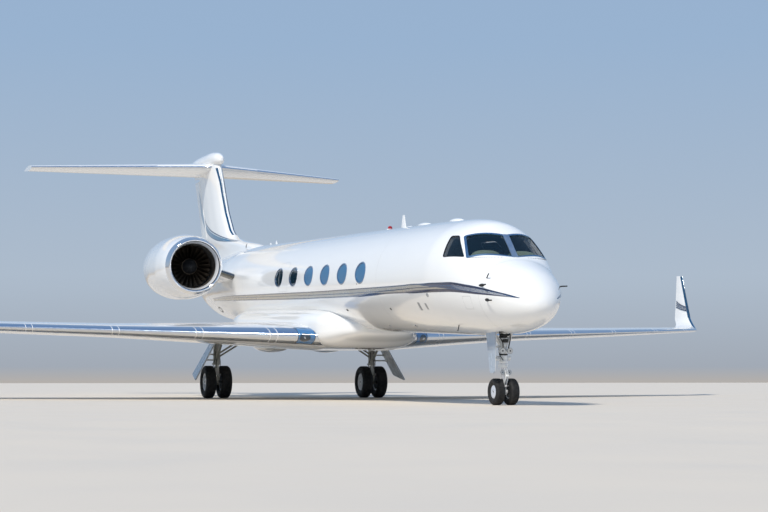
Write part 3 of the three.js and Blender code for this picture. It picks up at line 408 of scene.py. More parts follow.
# Finishes
class Finish:
    """A procedural material: a mottled colour, an uneven gloss and a fine relief, all from noise."""
    def __init__(self, name, colour, rough, metal=0.0, shift=0.04, grain=3.0, relief=0.02, stretch=(1, 1, 1)):
        self.material = bpy.data.materials.new(name)
        self.material.use_nodes = True
        self.tree = self.material.node_tree
        self.shader = self.tree.nodes["Principled BSDF"]
        self.set("Metallic", metal)
        self.coords = self.node("TexCoord").outputs["Object"]
        mapping = self.node("Mapping")
        mapping.inputs["Scale"].default_value = stretch
        self.link(self.coords, mapping.inputs["Vector"])
        self.place = mapping.outputs["Vector"]
        cloud = self.noise(grain * 0.35, 3)
        self.blend(cloud, colour, shift)
        self.range(self.noise(grain, 4), rough * 0.8, rough * 1.25, self.shader.inputs["Roughness"])
        self.raise_by(self.noise(grain * 12, 2), relief)

    def node(self, kind):
        return self.tree.nodes.new("ShaderNode" + kind)

    def link(self, start, end):
        self.tree.links.new(start, end)

    def set(self, socket, value):
        self.shader.inputs[socket].default_value = value
        return self

    def noise(self, scale, detail):
        noise = self.node("TexNoise")
        noise.inputs["Scale"].default_value = scale
        noise.inputs["Detail"].default_value = detail
        self.link(self.place, noise.inputs["Vector"])
        return noise.outputs["Fac"]

    def blend(self, factor, colour, shift):
        mix = self.node("Mix")
        mix.data_type = "RGBA"
        mix.inputs[6].default_value = (*[part * (1 - shift) for part in colour], 1)
        mix.inputs[7].default_value = (*[min(1, part * (1 + shift)) for part in colour], 1)
        self.link(factor, mix.inputs[0])
        self.link(mix.outputs[2], self.shader.inputs["Base Color"])

    def range(self, value, low, high, socket):
        spread = self.node("MapRange")
        for name, number in (("From Min", 0.3), ("From Max", 0.7), ("To Min", low), ("To Max", high)):
            spread.inputs[name].default_value = number
        self.link(value, spread.inputs["Value"])
        self.link(spread.outputs["Result"], socket)

    def raise_by(self, height, relief, reach=0.002):
        bump = self.node("Bump")
        bump.inputs["Strength"].default_value = relief
        bump.inputs["Distance"].default_value = reach
        self.link(height, bump.inputs["Height"])
        self.link(bump.outputs["Normal"], self.shader.inputs["Normal"])


def gloss(name, colour, rough=0.12, **more):
    return Finish(name, colour, rough, **more).set("Coat Weight", 0.8).set("Coat Roughness", 0.03)


def plain(name, colour, rough, **more):
    return Finish(name, colour, rough, **more)


def metal(name, colour, rough, **more):
    return Finish(name, colour, rough, metal=1.0, **more)


WHITE = gloss("white_paint", (0.87, 0.87, 0.86), shift=0.012, relief=0.008)
WING_WHITE = gloss("wing_paint", (0.78, 0.79, 0.8), 0.2, shift=0.03, relief=0.01)
NAVY = gloss("navy_stripe", (0.012, 0.02, 0.06))
BLUE = gloss("blue_stripe", (0.015, 0.05, 0.13))
MID_BLUE = gloss("mid_blue_stripe", (0.022, 0.13, 0.25))
TEAL = gloss("teal_edge", (0.004, 0.055, 0.13)).set("Coat Weight", 0.25)
GREY = gloss("grey_stripe", (0.3, 0.34, 0.38))
SILVER_GOLD = metal("silver_gold_stripe", (0.62, 0.58, 0.5), 0.3)
POLISHED = metal("polished_edge", (0.62, 0.66, 0.72), 0.14, shift=0.06, stretch=(1, 6, 1))
CHROME = metal("polished_lip", (0.8, 0.81, 0.83), 0.07, shift=0.03)
DUCT = plain("duct_lining", (0.05, 0.045, 0.04), 0.5, grain=9)
NOZZLE = metal("nozzle_metal", (0.55, 0.55, 0.56), 0.3, shift=0.08, grain=6, stretch=(1, 4, 1))
TITANIUM = metal("titanium", (0.34, 0.32, 0.3), 0.34, shift=0.15, grain=8, stretch=(1, 4, 1))
FAN_METAL = metal("fan_blade_metal", (0.1, 0.08, 0.06), 0.36, shift=0.15)
THROAT = gloss("inlet_throat", (0.74, 0.76, 0.79), 0.22, shift=0.03)
SPINNER_RING = metal("spinner_ring_metal", (0.22, 0.18, 0.14), 0.35, shift=0.1)
LINING = plain("cabin_lining", (0.5, 0.45, 0.38), 0.7, grain=30, relief=0.2)
CARPET = plain("cabin_carpet", (0.16, 0.14, 0.12), 0.95, shift=0.3, grain=120, relief=0.8)
DARK = plain("dark_void", (0.015, 0.016, 0.018), 0.6)
BAY = plain("bay_paint", (0.32, 0.33, 0.33), 0.5, shift=0.15, grain=6, relief=0.1)
SAGE = plain("glareshield_cover", (0.56, 0.7, 0.52), 0.85, grain=60, relief=0.3)
COCKPIT = plain("cockpit_lining", (0.02, 0.022, 0.024), 0.75, grain=40, relief=0.3)
PLASTIC = plain("panel_plastic", (0.035, 0.037, 0.04), 0.5, grain=90, relief=0.25)
SCREEN = gloss("panel_screen", (0.01, 0.02, 0.03), 0.08)
LEATHER = plain("seat_leather", (0.14, 0.1, 0.07), 0.5, shift=0.12, grain=70, relief=0.5)
GEAR_WHITE = gloss("gear_paint", (0.86, 0.87, 0.87), 0.28, shift=0.06, grain=10, relief=0.03)
DOOR_BLUE = gloss("door_grey_blue", (0.36, 0.42, 0.5), 0.25, shift=0.08)
OLEO = metal("oleo_chrome", (0.85, 0.85, 0.86), 0.06)
STEEL = metal("steel", (0.4, 0.41, 0.42), 0.35, shift=0.12, grain=20)
# The hubs' colour is brighter than their own light grey: painted light, so that hubs in the aircraft's shade
# look sunlit
HUB_WITH_PAINTED_LIGHT = gloss("wheel_hub_metal_with_painted_light", (0.84, 0.85, 0.87), 0.38, metal=0.12, shift=0.08, grain=25, relief=0.1)
COVER = gloss("wheel_cover_paint", (0.56, 0.6, 0.68), 0.3, shift=0.05, grain=20, relief=0.04)
RUBBER = plain("tyre_rubber", (0.012, 0.012, 0.013), 0.78, shift=0.35, grain=18, relief=0.35)
BEACON = gloss("red_beacon", (0.35, 0.01, 0.01), 0.1)
LAMP = metal("lamp_reflector", (0.5, 0.53, 0.56), 0.16)
GLASS = gloss("cockpit_glass", (0.006, 0.02, 0.035), 0.03, shift=0.01, relief=0.0)
GLASS.set("Alpha", 0.36)
GLASS.set("Coat Weight", 0.25)
POST = metal("windshield_post_metal", (0.5, 0.56, 0.62), 0.38, shift=0.12, grain=14)
FRAME = metal("windshield_frame", (0.22, 0.36, 0.5), 0.26, shift=0.06)
# The cabin glass's blue is a painted reflection of the sky, and the dark cabin glass is the same glass with a
# painted darker reflection
SKY_REFLECTION_CABIN_GLASS = gloss("cabin_glass", (0.012, 0.12, 0.27), 0.08, shift=0.12)
SKY_REFLECTION_CABIN_GLASS.set("Coat Weight", 0.15)
DARK_GLASS = gloss("dark_cabin_glass", (0.01, 0.03, 0.05), 0.05, shift=0.1)
LAMP_GLASS = gloss("landing_lamp_glass", (0.05, 0.16, 0.34), 0.04, shift=0.08)
SEAM = plain("panel_seam", (0.36, 0.36, 0.36), 0.6, grain=40)
BLOCK_METAL = metal("pylon_edge_metal", (0.16, 0.17, 0.17), 0.25, shift=0.1)
# The main legs' dark olive grey is painted shade: the wing's shadow over them, warmed by light from the floor.
# The fork plate's lighter olive is the same painted shade, less deep
LEG_PAINTED_SHADE = gloss("main_gear_painted_shade", (0.36, 0.36, 0.32), 0.34, shift=0.1, grain=10, relief=0.05)
FORK_PAINTED_SHADE = gloss("gear_fork_painted_shade", (0.55, 0.55, 0.5), 0.34, shift=0.1, grain=10, relief=0.05)


def local_faces(piece):
    """Middles in the level airframe's millimetres and normals of a piece's faces."""
    mesh = piece.data
    middles = np.empty(len(mesh.polygons) * 3)
    normals = np.empty(len(mesh.polygons) * 3)
    mesh.polygons.foreach_get("center", middles)
    mesh.polygons.foreach_get("normal", normals)
    return levelled(middles.reshape(-1, 3)), normals.reshape(-1, 3) @ np.array(AIR.to_3x3())


dressed = []


def dress(piece, body, slot, *finishes, pick=None, instead=()):
    """Gives a piece its finishes and its body, and hides the CAD nodes that it stands for. The slot is not
    used.
    """
    mesh = piece.data
    if finishes:
        mesh.materials.clear()
        for finish in finishes:
            mesh.materials.append(finish.material)
        if pick:
            middles, normals = local_faces(piece)
            mesh.polygons.foreach_set("material_index", pick(middles, normals).astype(int).tolist())
    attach(piece, body)
    if instead:
        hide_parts(*instead)
    dressed.append(piece)
    return piece


# Fuselage skin
def oval(row, inset=0, sides=96, power=2):
    half, top, bottom, middle = row
    angle = turns_of(sides)
    across, up = [np.sign(part) * np.abs(part) ** (2 / power) for part in (np.cos(angle), np.sin(angle))]
    reach = np.where(up > 0, top - middle, middle - bottom) - inset
    return (half - inset) * across, middle + reach * up


def oval_rings(section, places, inset=0, sides=96, power=2):
    rings = []
    for at in places:
        across, up = oval(section(at), inset, sides, power)
        rings.append(flat_ring(at, across, up))
    return np.array(rings)


def places_between(front, rear, step=100):
    count = max(2, math.ceil((rear - front) / step) + 1)
    return np.linspace(front, rear, count)


def nose_places(rear):
    return np.linspace(0, math.sqrt(rear), 36) ** 2


def tube(name, front, rear, inset=0, step=100):
    places = nose_places(rear) if front < 1 else places_between(front, rear, step)
    return loft(name, oval_rings(body_section, places, inset))


def hollow(name, front, rear):
    """The space inside the walls above the floor."""
    rings = oval_rings(body_section, places_between(front, rear, 150), WALL)
    rings[..., 2] = np.maximum(rings[..., 2], FLOOR)
    return loft(name, rings)


def skin_depth(points):
    """How far points lie inside the fuselage skin, about square to it."""
    points = np.asarray(points, float)
    half, top, bottom, middle = body_section(np.clip(points[:, 1], 0, CUTS["end"]))
    reach = np.where(points[:, 2] > middle, top - middle, middle - bottom)
    radius = np.hypot(points[:, 0] / half, (points[:, 2] - middle) / reach)
    return (1 - radius) * np.minimum(half, reach)


def skin_spots(at, height, side, lift=0.0):
    """Points on the skin at places along it and heights, raised square to it."""
    at, height = np.broadcast_arrays(np.asarray(at, float), np.asarray(height, float))

    def half_at(place, level):
        half, top, bottom, middle = body_section(place)
        reach = np.where(level > middle, top - middle, middle - bottom)
        return half * np.sqrt(np.maximum(1 - ((level - middle) / reach) ** 2, 1e-4))

    across = half_at(at, height)
    lean_at = (half_at(at + 4, height) - half_at(at - 4, height)) / 8
    lean_up = (half_at(at, height + 4) - half_at(at, height - 4)) / 8
    normal = unit(np.stack([np.ones_like(across), -lean_at, -lean_up], -1))
    spots = np.stack([across, at, height], -1) + normal * lift
    return spots * (side, 1, 1)


body_places = np.concatenate([nose_places(CUTS["nose"]), places_between(1100, CUTS["end"])])
body_grid = oval_rings(body_section, body_places)
body_skin = Skin(body_grid, wrap=True)


def side_outline(item, grow):
    front, rear = item["front"] - grow, item["rear"] + grow
    low, high = item["sill"] - grow, item["head"] + grow
    return rounded([(0, front, low), (0, rear, low), (0, rear, high), (0, front, high)], item["corner"])


def side_plan(outline, near, side=PORT):
    """A cutter through one side of the body, from a distance off its middle to past its skin."""
    return prism("plan", outline, PORT_FACING, PLAN_REACH, -near, side)


def porthole_outline(index, shrink):
    angle = turns_of(48)
    at = PORTHOLE["first"] + PORTHOLE["pitch"] * index + (PORTHOLE["length"] / 2 - shrink) * np.cos(angle)
    height = PORTHOLE["height"] + (PORTHOLE["tall"] / 2 - shrink) * np.sin(angle)
    return np.stack([np.zeros(48), at, height], 1)


windshield_outline = rounded(WINDSHIELD, 45)
side_window_outline = rounded(SIDE_WINDOW, 60)
WINDOWS = {
    "windshield": (windshield_outline, WINDSHIELD_FACING, 200, 330),
    "cockpit_window": (side_window_outline, SIDE_WINDOW_FACING, 200, 300),
}


def fuselage():
    nose = tube("nose_cone_skin", 0, CUTS["nose"] - TOUCH)
    forward = tube("forward_fuselage_skin", CUTS["nose"], CUTS["front"] - TOUCH, step=50)
    holes = [prism("hole", outline, facing, ahead, behind, side)
             for outline, facing, ahead, behind in WINDOWS.values() for side in SIDES.values()]
    door_hole = side_plan(side_outline(DOOR, DOOR["gap"]), DOOR["near"])
    half, front, rear, roof = NOSE_BAY.values()
    bay = block("bay", (-half, front, -1400), (half, rear, roof))
    cut(forward, hollow("space", CUTS["nose"] + 100, CUTS["front"] + 10), *holes, door_hole, bay)
    cabin = tube("cabin_fuselage_skin", CUTS["front"], CUTS["rear"] - TOUCH)
    ovals = [side_plan(porthole_outline(index, 0), -PLAN_REACH)
             for index in range(PORTHOLE["count"])]
    cut(cabin, hollow("space", CUTS["front"] - 10, CUTS["rear"] + 10), *ovals)
    aft = tube("aft_fuselage_skin", CUTS["rear"], CUTS["tail"] - TOUCH)
    baggage_hole = side_plan(side_outline(BAGGAGE, BAGGAGE["gap"]), BAGGAGE["near"])
    cut(aft, hollow("space", CUTS["rear"] - 10, CUTS["tail"] - 120), baggage_hole)
    tail = tube("tail_cone_skin", CUTS["tail"], CUTS["end"])
    cut(tail, bar_tool((0, 26200, 320), (0, 25500, 280), 130))

    def inside(middles, normals):
        deep = skin_depth(middles) > INSIDE_DEPTH
        in_bay = deep & (middles[:, 2] < FLOOR)
        on_floor = deep & (np.abs(middles[:, 2] - FLOOR) < FLOOR_NEAR)
        in_cockpit = deep & (middles[:, 1] < COCKPIT_END) & ~in_bay
        return np.select([in_cockpit, on_floor, in_bay, deep], [4, 2, 3, 1], 0)

    for piece, node in ((nose, "nose_cone"), (forward, "forward_fuselage"), (cabin, "cabin_fuselage"),
                        (aft, "aft_fuselage"), (tail, "tail_cone")):
        shade(piece, body_skin)
        slot = "radome_paint" if piece is nose else "body_paint"
        dress(piece, "airframe", slot, WHITE, LINING, CARPET, BAY, COCKPIT, pick=inside, instead=(node,))


fuselage()


# Glazing and doors
def band(name, front, rear, outer, inner, step=50):
    """A layer of the fuselage between two depths below its skin."""
    layer = tube(name, front, rear, outer, step)
    return cut(layer, tube("band_core", front - 5, rear + 5, inner, step))


def cockpit_glazing():
    for name, side in SIDES.items():
        for node, (outline, facing, ahead, behind) in WINDOWS.items():
            pane = band(f"{node}_{name}_pane", *GLAZED, 12, 34)
            kept_in(pane, prism("plan", drawn_in(outline, 2), facing, ahead, behind, side))
            dress(shade(pane, body_skin), "airframe", "cockpit_glass", GLASS, instead=(f"{node}_{name}",))
        rim = band(f"windshield_{name}_frame", *GLAZED, -5, 16)
        kept_in(rim, prism("plan", drawn_in(windshield_outline, -58), WINDSHIELD_FACING, 240, 330, side))
        cut(rim, prism("plan", drawn_in(windshield_outline, 3), WINDSHIELD_FACING, 260, 360, side))
        dress(shade(rim, body_skin), "airframe", "body_paint", FRAME)
        seal = band(f"cockpit_window_{name}_seal", *GLAZED, -2, 16)
        kept_in(seal, prism("plan", drawn_in(side_window_outline, -14), SIDE_WINDOW_FACING, 240, 330, side))
        cut(seal, prism("plan", drawn_in(side_window_outline, 3), SIDE_WINDOW_FACING, 260, 360, side))
        dress(shade(seal, body_skin), "airframe", "body_paint", DARK)


def windshield_post():
    post = band("windshield_post", 1100, 2000, -8, 16)
    plan = [(-62, 1216, 340), (62, 1216, 340), (62, 1724, 812), (-62, 1724, 812)]
    kept_in(post, prism("plan", plan, (0, -0.63, 0.69), 260, 330))
    dress(shade(post, body_skin), "airframe", "body_paint", POST)


def cabin_glazing():
    for name, side in SIDES.items():
        for index in range(PORTHOLE["count"]):
            middle = PORTHOLE["first"] + PORTHOLE["pitch"] * index
            front, rear = middle - 400, middle + 400
            pane = band(f"cabin_window_{name}_{index + 1}", front, rear, 14, 30)
            kept_in(pane, side_plan(porthole_outline(index, 2), PORTHOLE["near"], side))
            nodes = (f"cabin_glazing_{name}",)
            # The front panes are painted with a sky reflection, the rear ones with a darker reflection
            finish = SKY_REFLECTION_CABIN_GLASS if index < PORTHOLE["blue"] else DARK_GLASS
            dress(shade(pane, body_skin), "airframe", "cabin_glass", finish, instead=nodes)
            trim = band(f"cabin_window_{name}_{index + 1}_trim", front, rear, -3, 30)
            kept_in(trim, side_plan(porthole_outline(index, -16), PORTHOLE["near"], side))
            cut(trim, side_plan(porthole_outline(index, 8), PORTHOLE["near"] - 100, side))
            dress(shade(trim, body_skin), "airframe", "body_paint", POLISHED)


def inside_door(middles, normals):
    return (skin_depth(middles) > INSIDE_DEPTH).astype(int)


def entry_door():
    door = band("entry_door_skin", 3700, 4950, 0, WALL)
    kept_in(door, side_plan(side_outline(DOOR, -DOOR["gap"]), DOOR["near"]))
    dress(shade(door, body_skin), "entry_door", "body_paint", WHITE, LINING, pick=inside_door,
          instead=("entry_door",))
    foot = DOOR["sill"] + STAIR["sink"]
    pitch = (DOOR["head"] - DOOR["sill"] - 170) / STAIR["steps"]
    tread = 0.75 * pitch * math.sin(STAIR["tilt"])
    back, middle = STAIR["back"], (DOOR["front"] + DOOR["rear"]) / 2
    outline = [(back, foot)]
    for step in range(STAIR["steps"]):
        outline += [(back - tread, foot + pitch * (step + 0.32)), (back, foot + pitch * (step + 1))]
    outline += [(1150, DOOR["head"] - 90), (1150, foot)]
    ends = [middle - STAIR["width"] / 2, middle + STAIR["width"] / 2]
    stair = loft("entry_stair", [[(x, y, z) for x, z in outline] for y in ends])
    kept_in(stair, tube("inside", CUTS["nose"], CUTS["front"], WALL - 20))

    def treads(middles, normals):
        return (normals[:, 2] < -0.4).astype(int)

    dress(shade(stair), "entry_door", "body_paint", LINING, CARPET, pick=treads)


def baggage_door():
    door = band("baggage_door_skin", 17000, 18400, 0, WALL)
    kept_in(door, side_plan(side_outline(BAGGAGE, 0), BAGGAGE["near"]))
    dress(shade(door, body_skin), "airframe", "body_paint", WHITE, LINING, pick=inside_door,
          instead=("baggage_door",))


cockpit_glazing()
windshield_post()
cabin_glazing()
entry_door()
baggage_door()


# Belly fairing
FAIRING_PLACES = 8300 + np.linspace(0, math.sqrt(10300), 90) ** 2
FAIRING_TRIM = (8000, 19000)


def fairing_rings(grow):
    return oval_rings(fairing_section, FAIRING_PLACES, -grow, 128, FAIRING_POWER)


def fairing_tool(grow):
    return loft("fairing", fairing_rings(grow))


def belly():
    fairing = fairing_tool(0)
    fairing.name = "belly_fairing_skin"
    cut(fairing, tube("body", *FAIRING_TRIM, -TOUCH))
    dress(shade(fairing, Skin(fairing_rings(0), wrap=True)), "airframe", "body_paint", WHITE,
          instead=("belly_fairing",))
    section = column_curves(WHEEL_BULGE)
    turn = np.linspace(0, math.pi, 25)
    places = 15250 - 1100 * np.cos(turn)
    for name, side in SIDES.items():
        rings = []
        for at in places:
            half, top, bottom = section(at)
            across, up = oval((half, top, bottom, (top + bottom) / 2), sides=48)
            rings.append(flat_ring(at, across + WHEEL_BULGE_X, up))
        dress(shade(loft(f"wheel_bulge_{name}", rings, side)), "airframe", "body_paint", WHITE)


belly()


# Aerofoils, and the shares of the chord up to which their edges are bare metal or dark
WING_EDGE = {"top": 0.05, "under": 0.055}
WINGLET_EDGE = {"bare": 0.007, "dark": 0.0956}
FOIL_SHARES = (1 - np.cos(np.linspace(0, math.pi, 41))) / 2


def foil_ring(lead, trail, thick, across):
    lead, trail, across = (np.array(part, float) for part in (lead, trail, across))
    chord = trail - lead
    depth = foil_half(FOIL_SHARES)[:, None] * thick * np.linalg.norm(chord) * across
    line = lead + FOIL_SHARES[:, None] * chord
    return np.concatenate([line + depth, (line - depth)[:0:-1]])


def open_foil(ring):
    """The ring from its upper trailing edge round the leading edge to the lower one."""
    count = len(FOIL_SHARES)
    return np.concatenate([ring[:count][::-1], ring[count:][::-1]])


def wing_ring(x):
    lead, trail, lead_z, trail_z, thick = row_at(WING, x)
    return foil_ring((x, lead, lead_z), (x, trail, trail_z), thick, UPWARD)


wing_places = sorted({*np.linspace(900, 13600, 34), 5400, 8600})
wing_rings = [wing_ring(x) for x in wing_places]


def hinge_on(lead, trail, thick, share):
    """Where this share of the chord lies, and half the foil's thickness there."""
    return lead + share * (trail - lead), foil_half(share) * thick * (trail - lead)


def wing_hinge(x, place):
    lead, trail, lead_z, trail_z, thick = row_at(WING, x)
    share = place if place <= 1 else (place - lead) / (trail - lead)
    at, half = hinge_on(lead, trail, thick, share)
    return np.array((x, at, lead_z + share * (trail_z - lead_z))), half


def hinge_tool(stations, up, upper, lower, side, steps=14):
    """A cutter along a hinge line. upper and lower give how far ahead of it the cut's two lips lie."""
    up = np.array(up, float)
    along = unit(stations[-1][0] - stations[0][0])
    aft = unit(np.cross(along, up))
    aft *= math.copysign(1, aft[1])
    rings = []
    for centre, radius in stations:
        start, end = [math.acos(min(1, lip(radius) / radius)) for lip in (upper, lower)]
        angle = np.linspace(start, -end, steps)
        ahead = np.concatenate([[upper(radius)], radius * np.cos(angle),
                                [lower(radius), -CUT_REACH, -CUT_REACH]])
        high = np.concatenate([[CUT_HEIGHT], radius * np.sin(angle), [-CUT_HEIGHT, -CUT_HEIGHT, CUT_HEIGHT]])
        rings.append(centre - ahead[:, None] * aft + high[:, None] * up)
    return loft("hinge", rings, side)


def span_tool(span, low, high, opening, across, side):
    front, rear = span["front"] - 1500, span["front"] + 3000
    splay = (rear - front) / CUT_REACH * opening
    corners = [(low, front), (high, front), (high + splay, rear), (low, rear)]
    return prism("span", [span["spot"](*corner) for corner in corners], across, 6000, 6000, side)


def hinged_tools(stations, up, turns, span, side):
    """Cutters for a hinged surface and for the cove that it sits in."""
    def lip(turn):
        return lambda radius: min(radius * 0.98, radius * math.sin(math.radians(turn)) + SURFACE_GAP)

    def flat(radius):
        return 0

    def grown(gap):
        return [(centre, radius * NOSE_SHARE + gap) for centre, radius in stations]

    surface = kept_in(hinge_tool(grown(0), up, flat, flat, side),
                      span_tool(span, span["low"], span["high"], 0, up, side))
    low, high = span["low"] - span["under"], span["high"] + SURFACE_GAP
    cove = kept_in(hinge_tool(grown(SURFACE_GAP), up, lip(turns[0]), lip(turns[1]), side),
                   span_tool(span, low, high, span["opening"], up, side))
    return surface, cove


def extended(stations, reach):
    def past(end, inner):
        step = end[0] - inner[0]
        share = reach / np.linalg.norm(step)
        return end[0] + step * share, end[1] + (end[1] - inner[1]) * share

    return [past(stations[0], stations[1]), *stations[1:-1], past(stations[-1], stations[-2])]


def flap_line(x):
    share = (x - FLAP["inner"]) / (FLAP["outer"] - FLAP["inner"])
    return FLAP["inner_at"] + share * (FLAP["outer_at"] - FLAP["inner_at"])


def along_x(place, y):
    return place, y, 0


def along_z(place, y):
    return 0, y, place


def spoiler_plan(inner, outer, grow, side):
    ends = [(inner - grow, inner), (outer + grow, outer)]
    front = [(x, flap_line(at) - SPOILER["front"] - grow, -1400) for x, at in ends]
    back = [(x, flap_line(at) - SPOILER["back"] + grow, -1400) for x, at in reversed(ends)]
    return prism("plan", front + back, UPWARD, 900, 200, side)


def chord_share(points, side):
    """The share of the wing's chord at which points lie."""
    shares = []
    for x, y in zip(points[:, 0] * side, points[:, 1]):
        lead, trail = row_at(WING, x)[:2]
        shares.append((y - lead) / (trail - lead))
    return np.array(shares)


def wing(name, side):
    flap_at = [FLAP["inner"], WING[1][0], FLAP["outer"]]
    flap_stations = extended([wing_hinge(x, flap_line(x)) for x in flap_at], 250)
    flap_span = {"low": FLAP["inner"], "high": FLAP["outer"], "under": 32, "front": FLAP["inner_at"],
                 "opening": 50, "spot": along_x}
    flap_tool, flap_cove = hinged_tools(flap_stations, UPWARD, (0, TURN["flap"]), flap_span, side)
    stations = [wing_hinge(x, AILERON["at"]) for x in (AILERON["inner"], AILERON["outer"])]
    aileron_span = {"low": AILERON["inner"], "high": AILERON["outer"], "under": SURFACE_GAP,
                    "front": stations[0][0][1], "opening": 10, "spot": along_x}
    turns = (TURN["aileron"], TURN["aileron"])
    aileron_tool, aileron_cove = hinged_tools(extended(stations, 400), UPWARD, turns, aileron_span, side)

    skins = [Skin([open_foil(ring) for ring in wing_rings], side)]
    blank = loft("blank", wing_rings, side)
    low_blank = copied(blank, "low_blank", (0, 0, -SPOILER["skin"]))
    recess = kept_in(copied(blank, "high_blank", (0, 0, 100)),
                     spoiler_plan(SPOILER["inner"], SPOILER["outer"], SPOILER_GAP, side))
    cut(recess, copied(blank, "recess_floor", (0, 0, -SPOILER["recess"])))

    def edge(middles, normals):
        reach = np.where(normals[:, 2] > 0, WING_EDGE["top"], WING_EDGE["under"])
        return np.where(chord_share(middles, side) < reach, 1, 0)

    panel = copied(blank, f"wing_{name}_panel")
    cut(panel, flap_cove, aileron_cove, recess, tube("body", *FAIRING_TRIM, -TOUCH), fairing_tool(TOUCH))
    dress(shade(panel, *skins), "airframe", "wing_metal", WING_WHITE, POLISHED, pick=edge,
          instead=(f"wing_{name}",))
    for node, tool in (("flap", flap_tool), ("aileron", aileron_tool)):
        piece = kept_in(copied(blank, f"{node}_{name}_skin"), tool)
        dress(shade(piece, *skins), f"{node}_{name}", "wing_metal", WING_WHITE, instead=(f"{node}_{name}",))
    reach = (SPOILER["outer"] - SPOILER["inner"]) / SPOILER["panels"]
    for index in range(SPOILER["panels"]):
        inner = SPOILER["inner"] + reach * index + (SPOILER_GAP if index else 0)
        outer = SPOILER["inner"] + reach * (index + 1)
        piece = cut(copied(blank, f"spoiler_{name}_{index + 1}"), low_blank)
        kept_in(piece, spoiler_plan(inner, outer, 0, side))
        nodes = (f"spoilers_{name}",)
        dress(shade(piece, *skins), f"spoilers_{name}", "wing_metal", WING_WHITE, instead=nodes)


def winglet(name, side):
    rows = np.array(WINGLET, float)
    rows[0, 0] += TOUCH
    steps = np.hypot(np.diff(rows[:, 0]), np.diff(rows[:, 3]))
    run = np.concatenate([[0], np.cumsum(steps)])
    curves = [smooth_through(run, column) for column in rows.T]
    places = np.concatenate([np.linspace(0, run[3], 22), np.linspace(run[3], run[4], 14)[1:]])
    rings = []
    for place in places:
        x, lead, trail, lead_z, trail_z, lean, thick = [float(curve(place)) for curve in curves]
        across = (-math.sin(math.radians(lean)), 0, math.cos(math.radians(lean)))
        rings.append(foil_ring((x, lead, lead_z), (x, trail, trail_z), thick, across))
    piece = loft(f"winglet_{name}_skin", rings, side)
    shares = np.concatenate([FOIL_SHARES, FOIL_SHARES[:0:-1]])
    mesh = piece.data
    dress(shade(piece, Skin([open_foil(ring) for ring in rings], side)), "airframe", "wing_metal", WHITE,
          TEAL, POLISHED, instead=(f"winglet_{name}",))
    for face in mesh.polygons:
        if len(face.vertices) == 4:
            share = max(shares[vertex % len(shares)] for vertex in face.vertices)
            face.material_index = 2 if share < WINGLET_EDGE["bare"] else int(share < WINGLET_EDGE["dark"])


for name, side in SIDES.items():
    wing(name, side)
    winglet(name, side)


# Tail
fin_lead = smooth_through(*np.transpose(FIN_LEAD))


def long_lead_at(z):
    """The fin's leading edge with its fillet."""
    return min(float(fin_lead(z)), row_at(FIN, z)[0])


def fin_ring(z):
    lead, trail, thick = row_at(FIN, z)
    long_lead = long_lead_at(z)
    depth = thick * (trail - lead) / (trail - long_lead)
    return foil_ring((0, long_lead, z), (0, trail, z), depth, PORT_FACING)


def fin_hinge(z):
    at, half = hinge_on(*row_at(FIN, z), RUDDER["at"])
    return np.array((0, at, z)), half


def elevator_hinge(x):
    lead, trail, z, thick = row_at(STABILIZER, x)
    at, half = hinge_on(lead, trail, thick, ELEVATOR["at"])
    return np.array((x, at, z)), half


def tail_ring(table, x):
    lead, trail, z, thick = row_at(table, abs(x))
    return foil_ring((x, lead, z), (x, trail, z), thick, UPWARD)


def bullet_rings(grow):
    section = column_curves(BULLET)
    rings = []
    for at in BULLET[0][0] + np.linspace(0, math.sqrt(BULLET[-1][0] - BULLET[0][0]), 40) ** 2:
        half, top, bottom = section(at)
        across, up = oval((half, top, bottom, (top + bottom) / 2), -grow, 48)
        rings.append(flat_ring(at, across, up))
    return rings


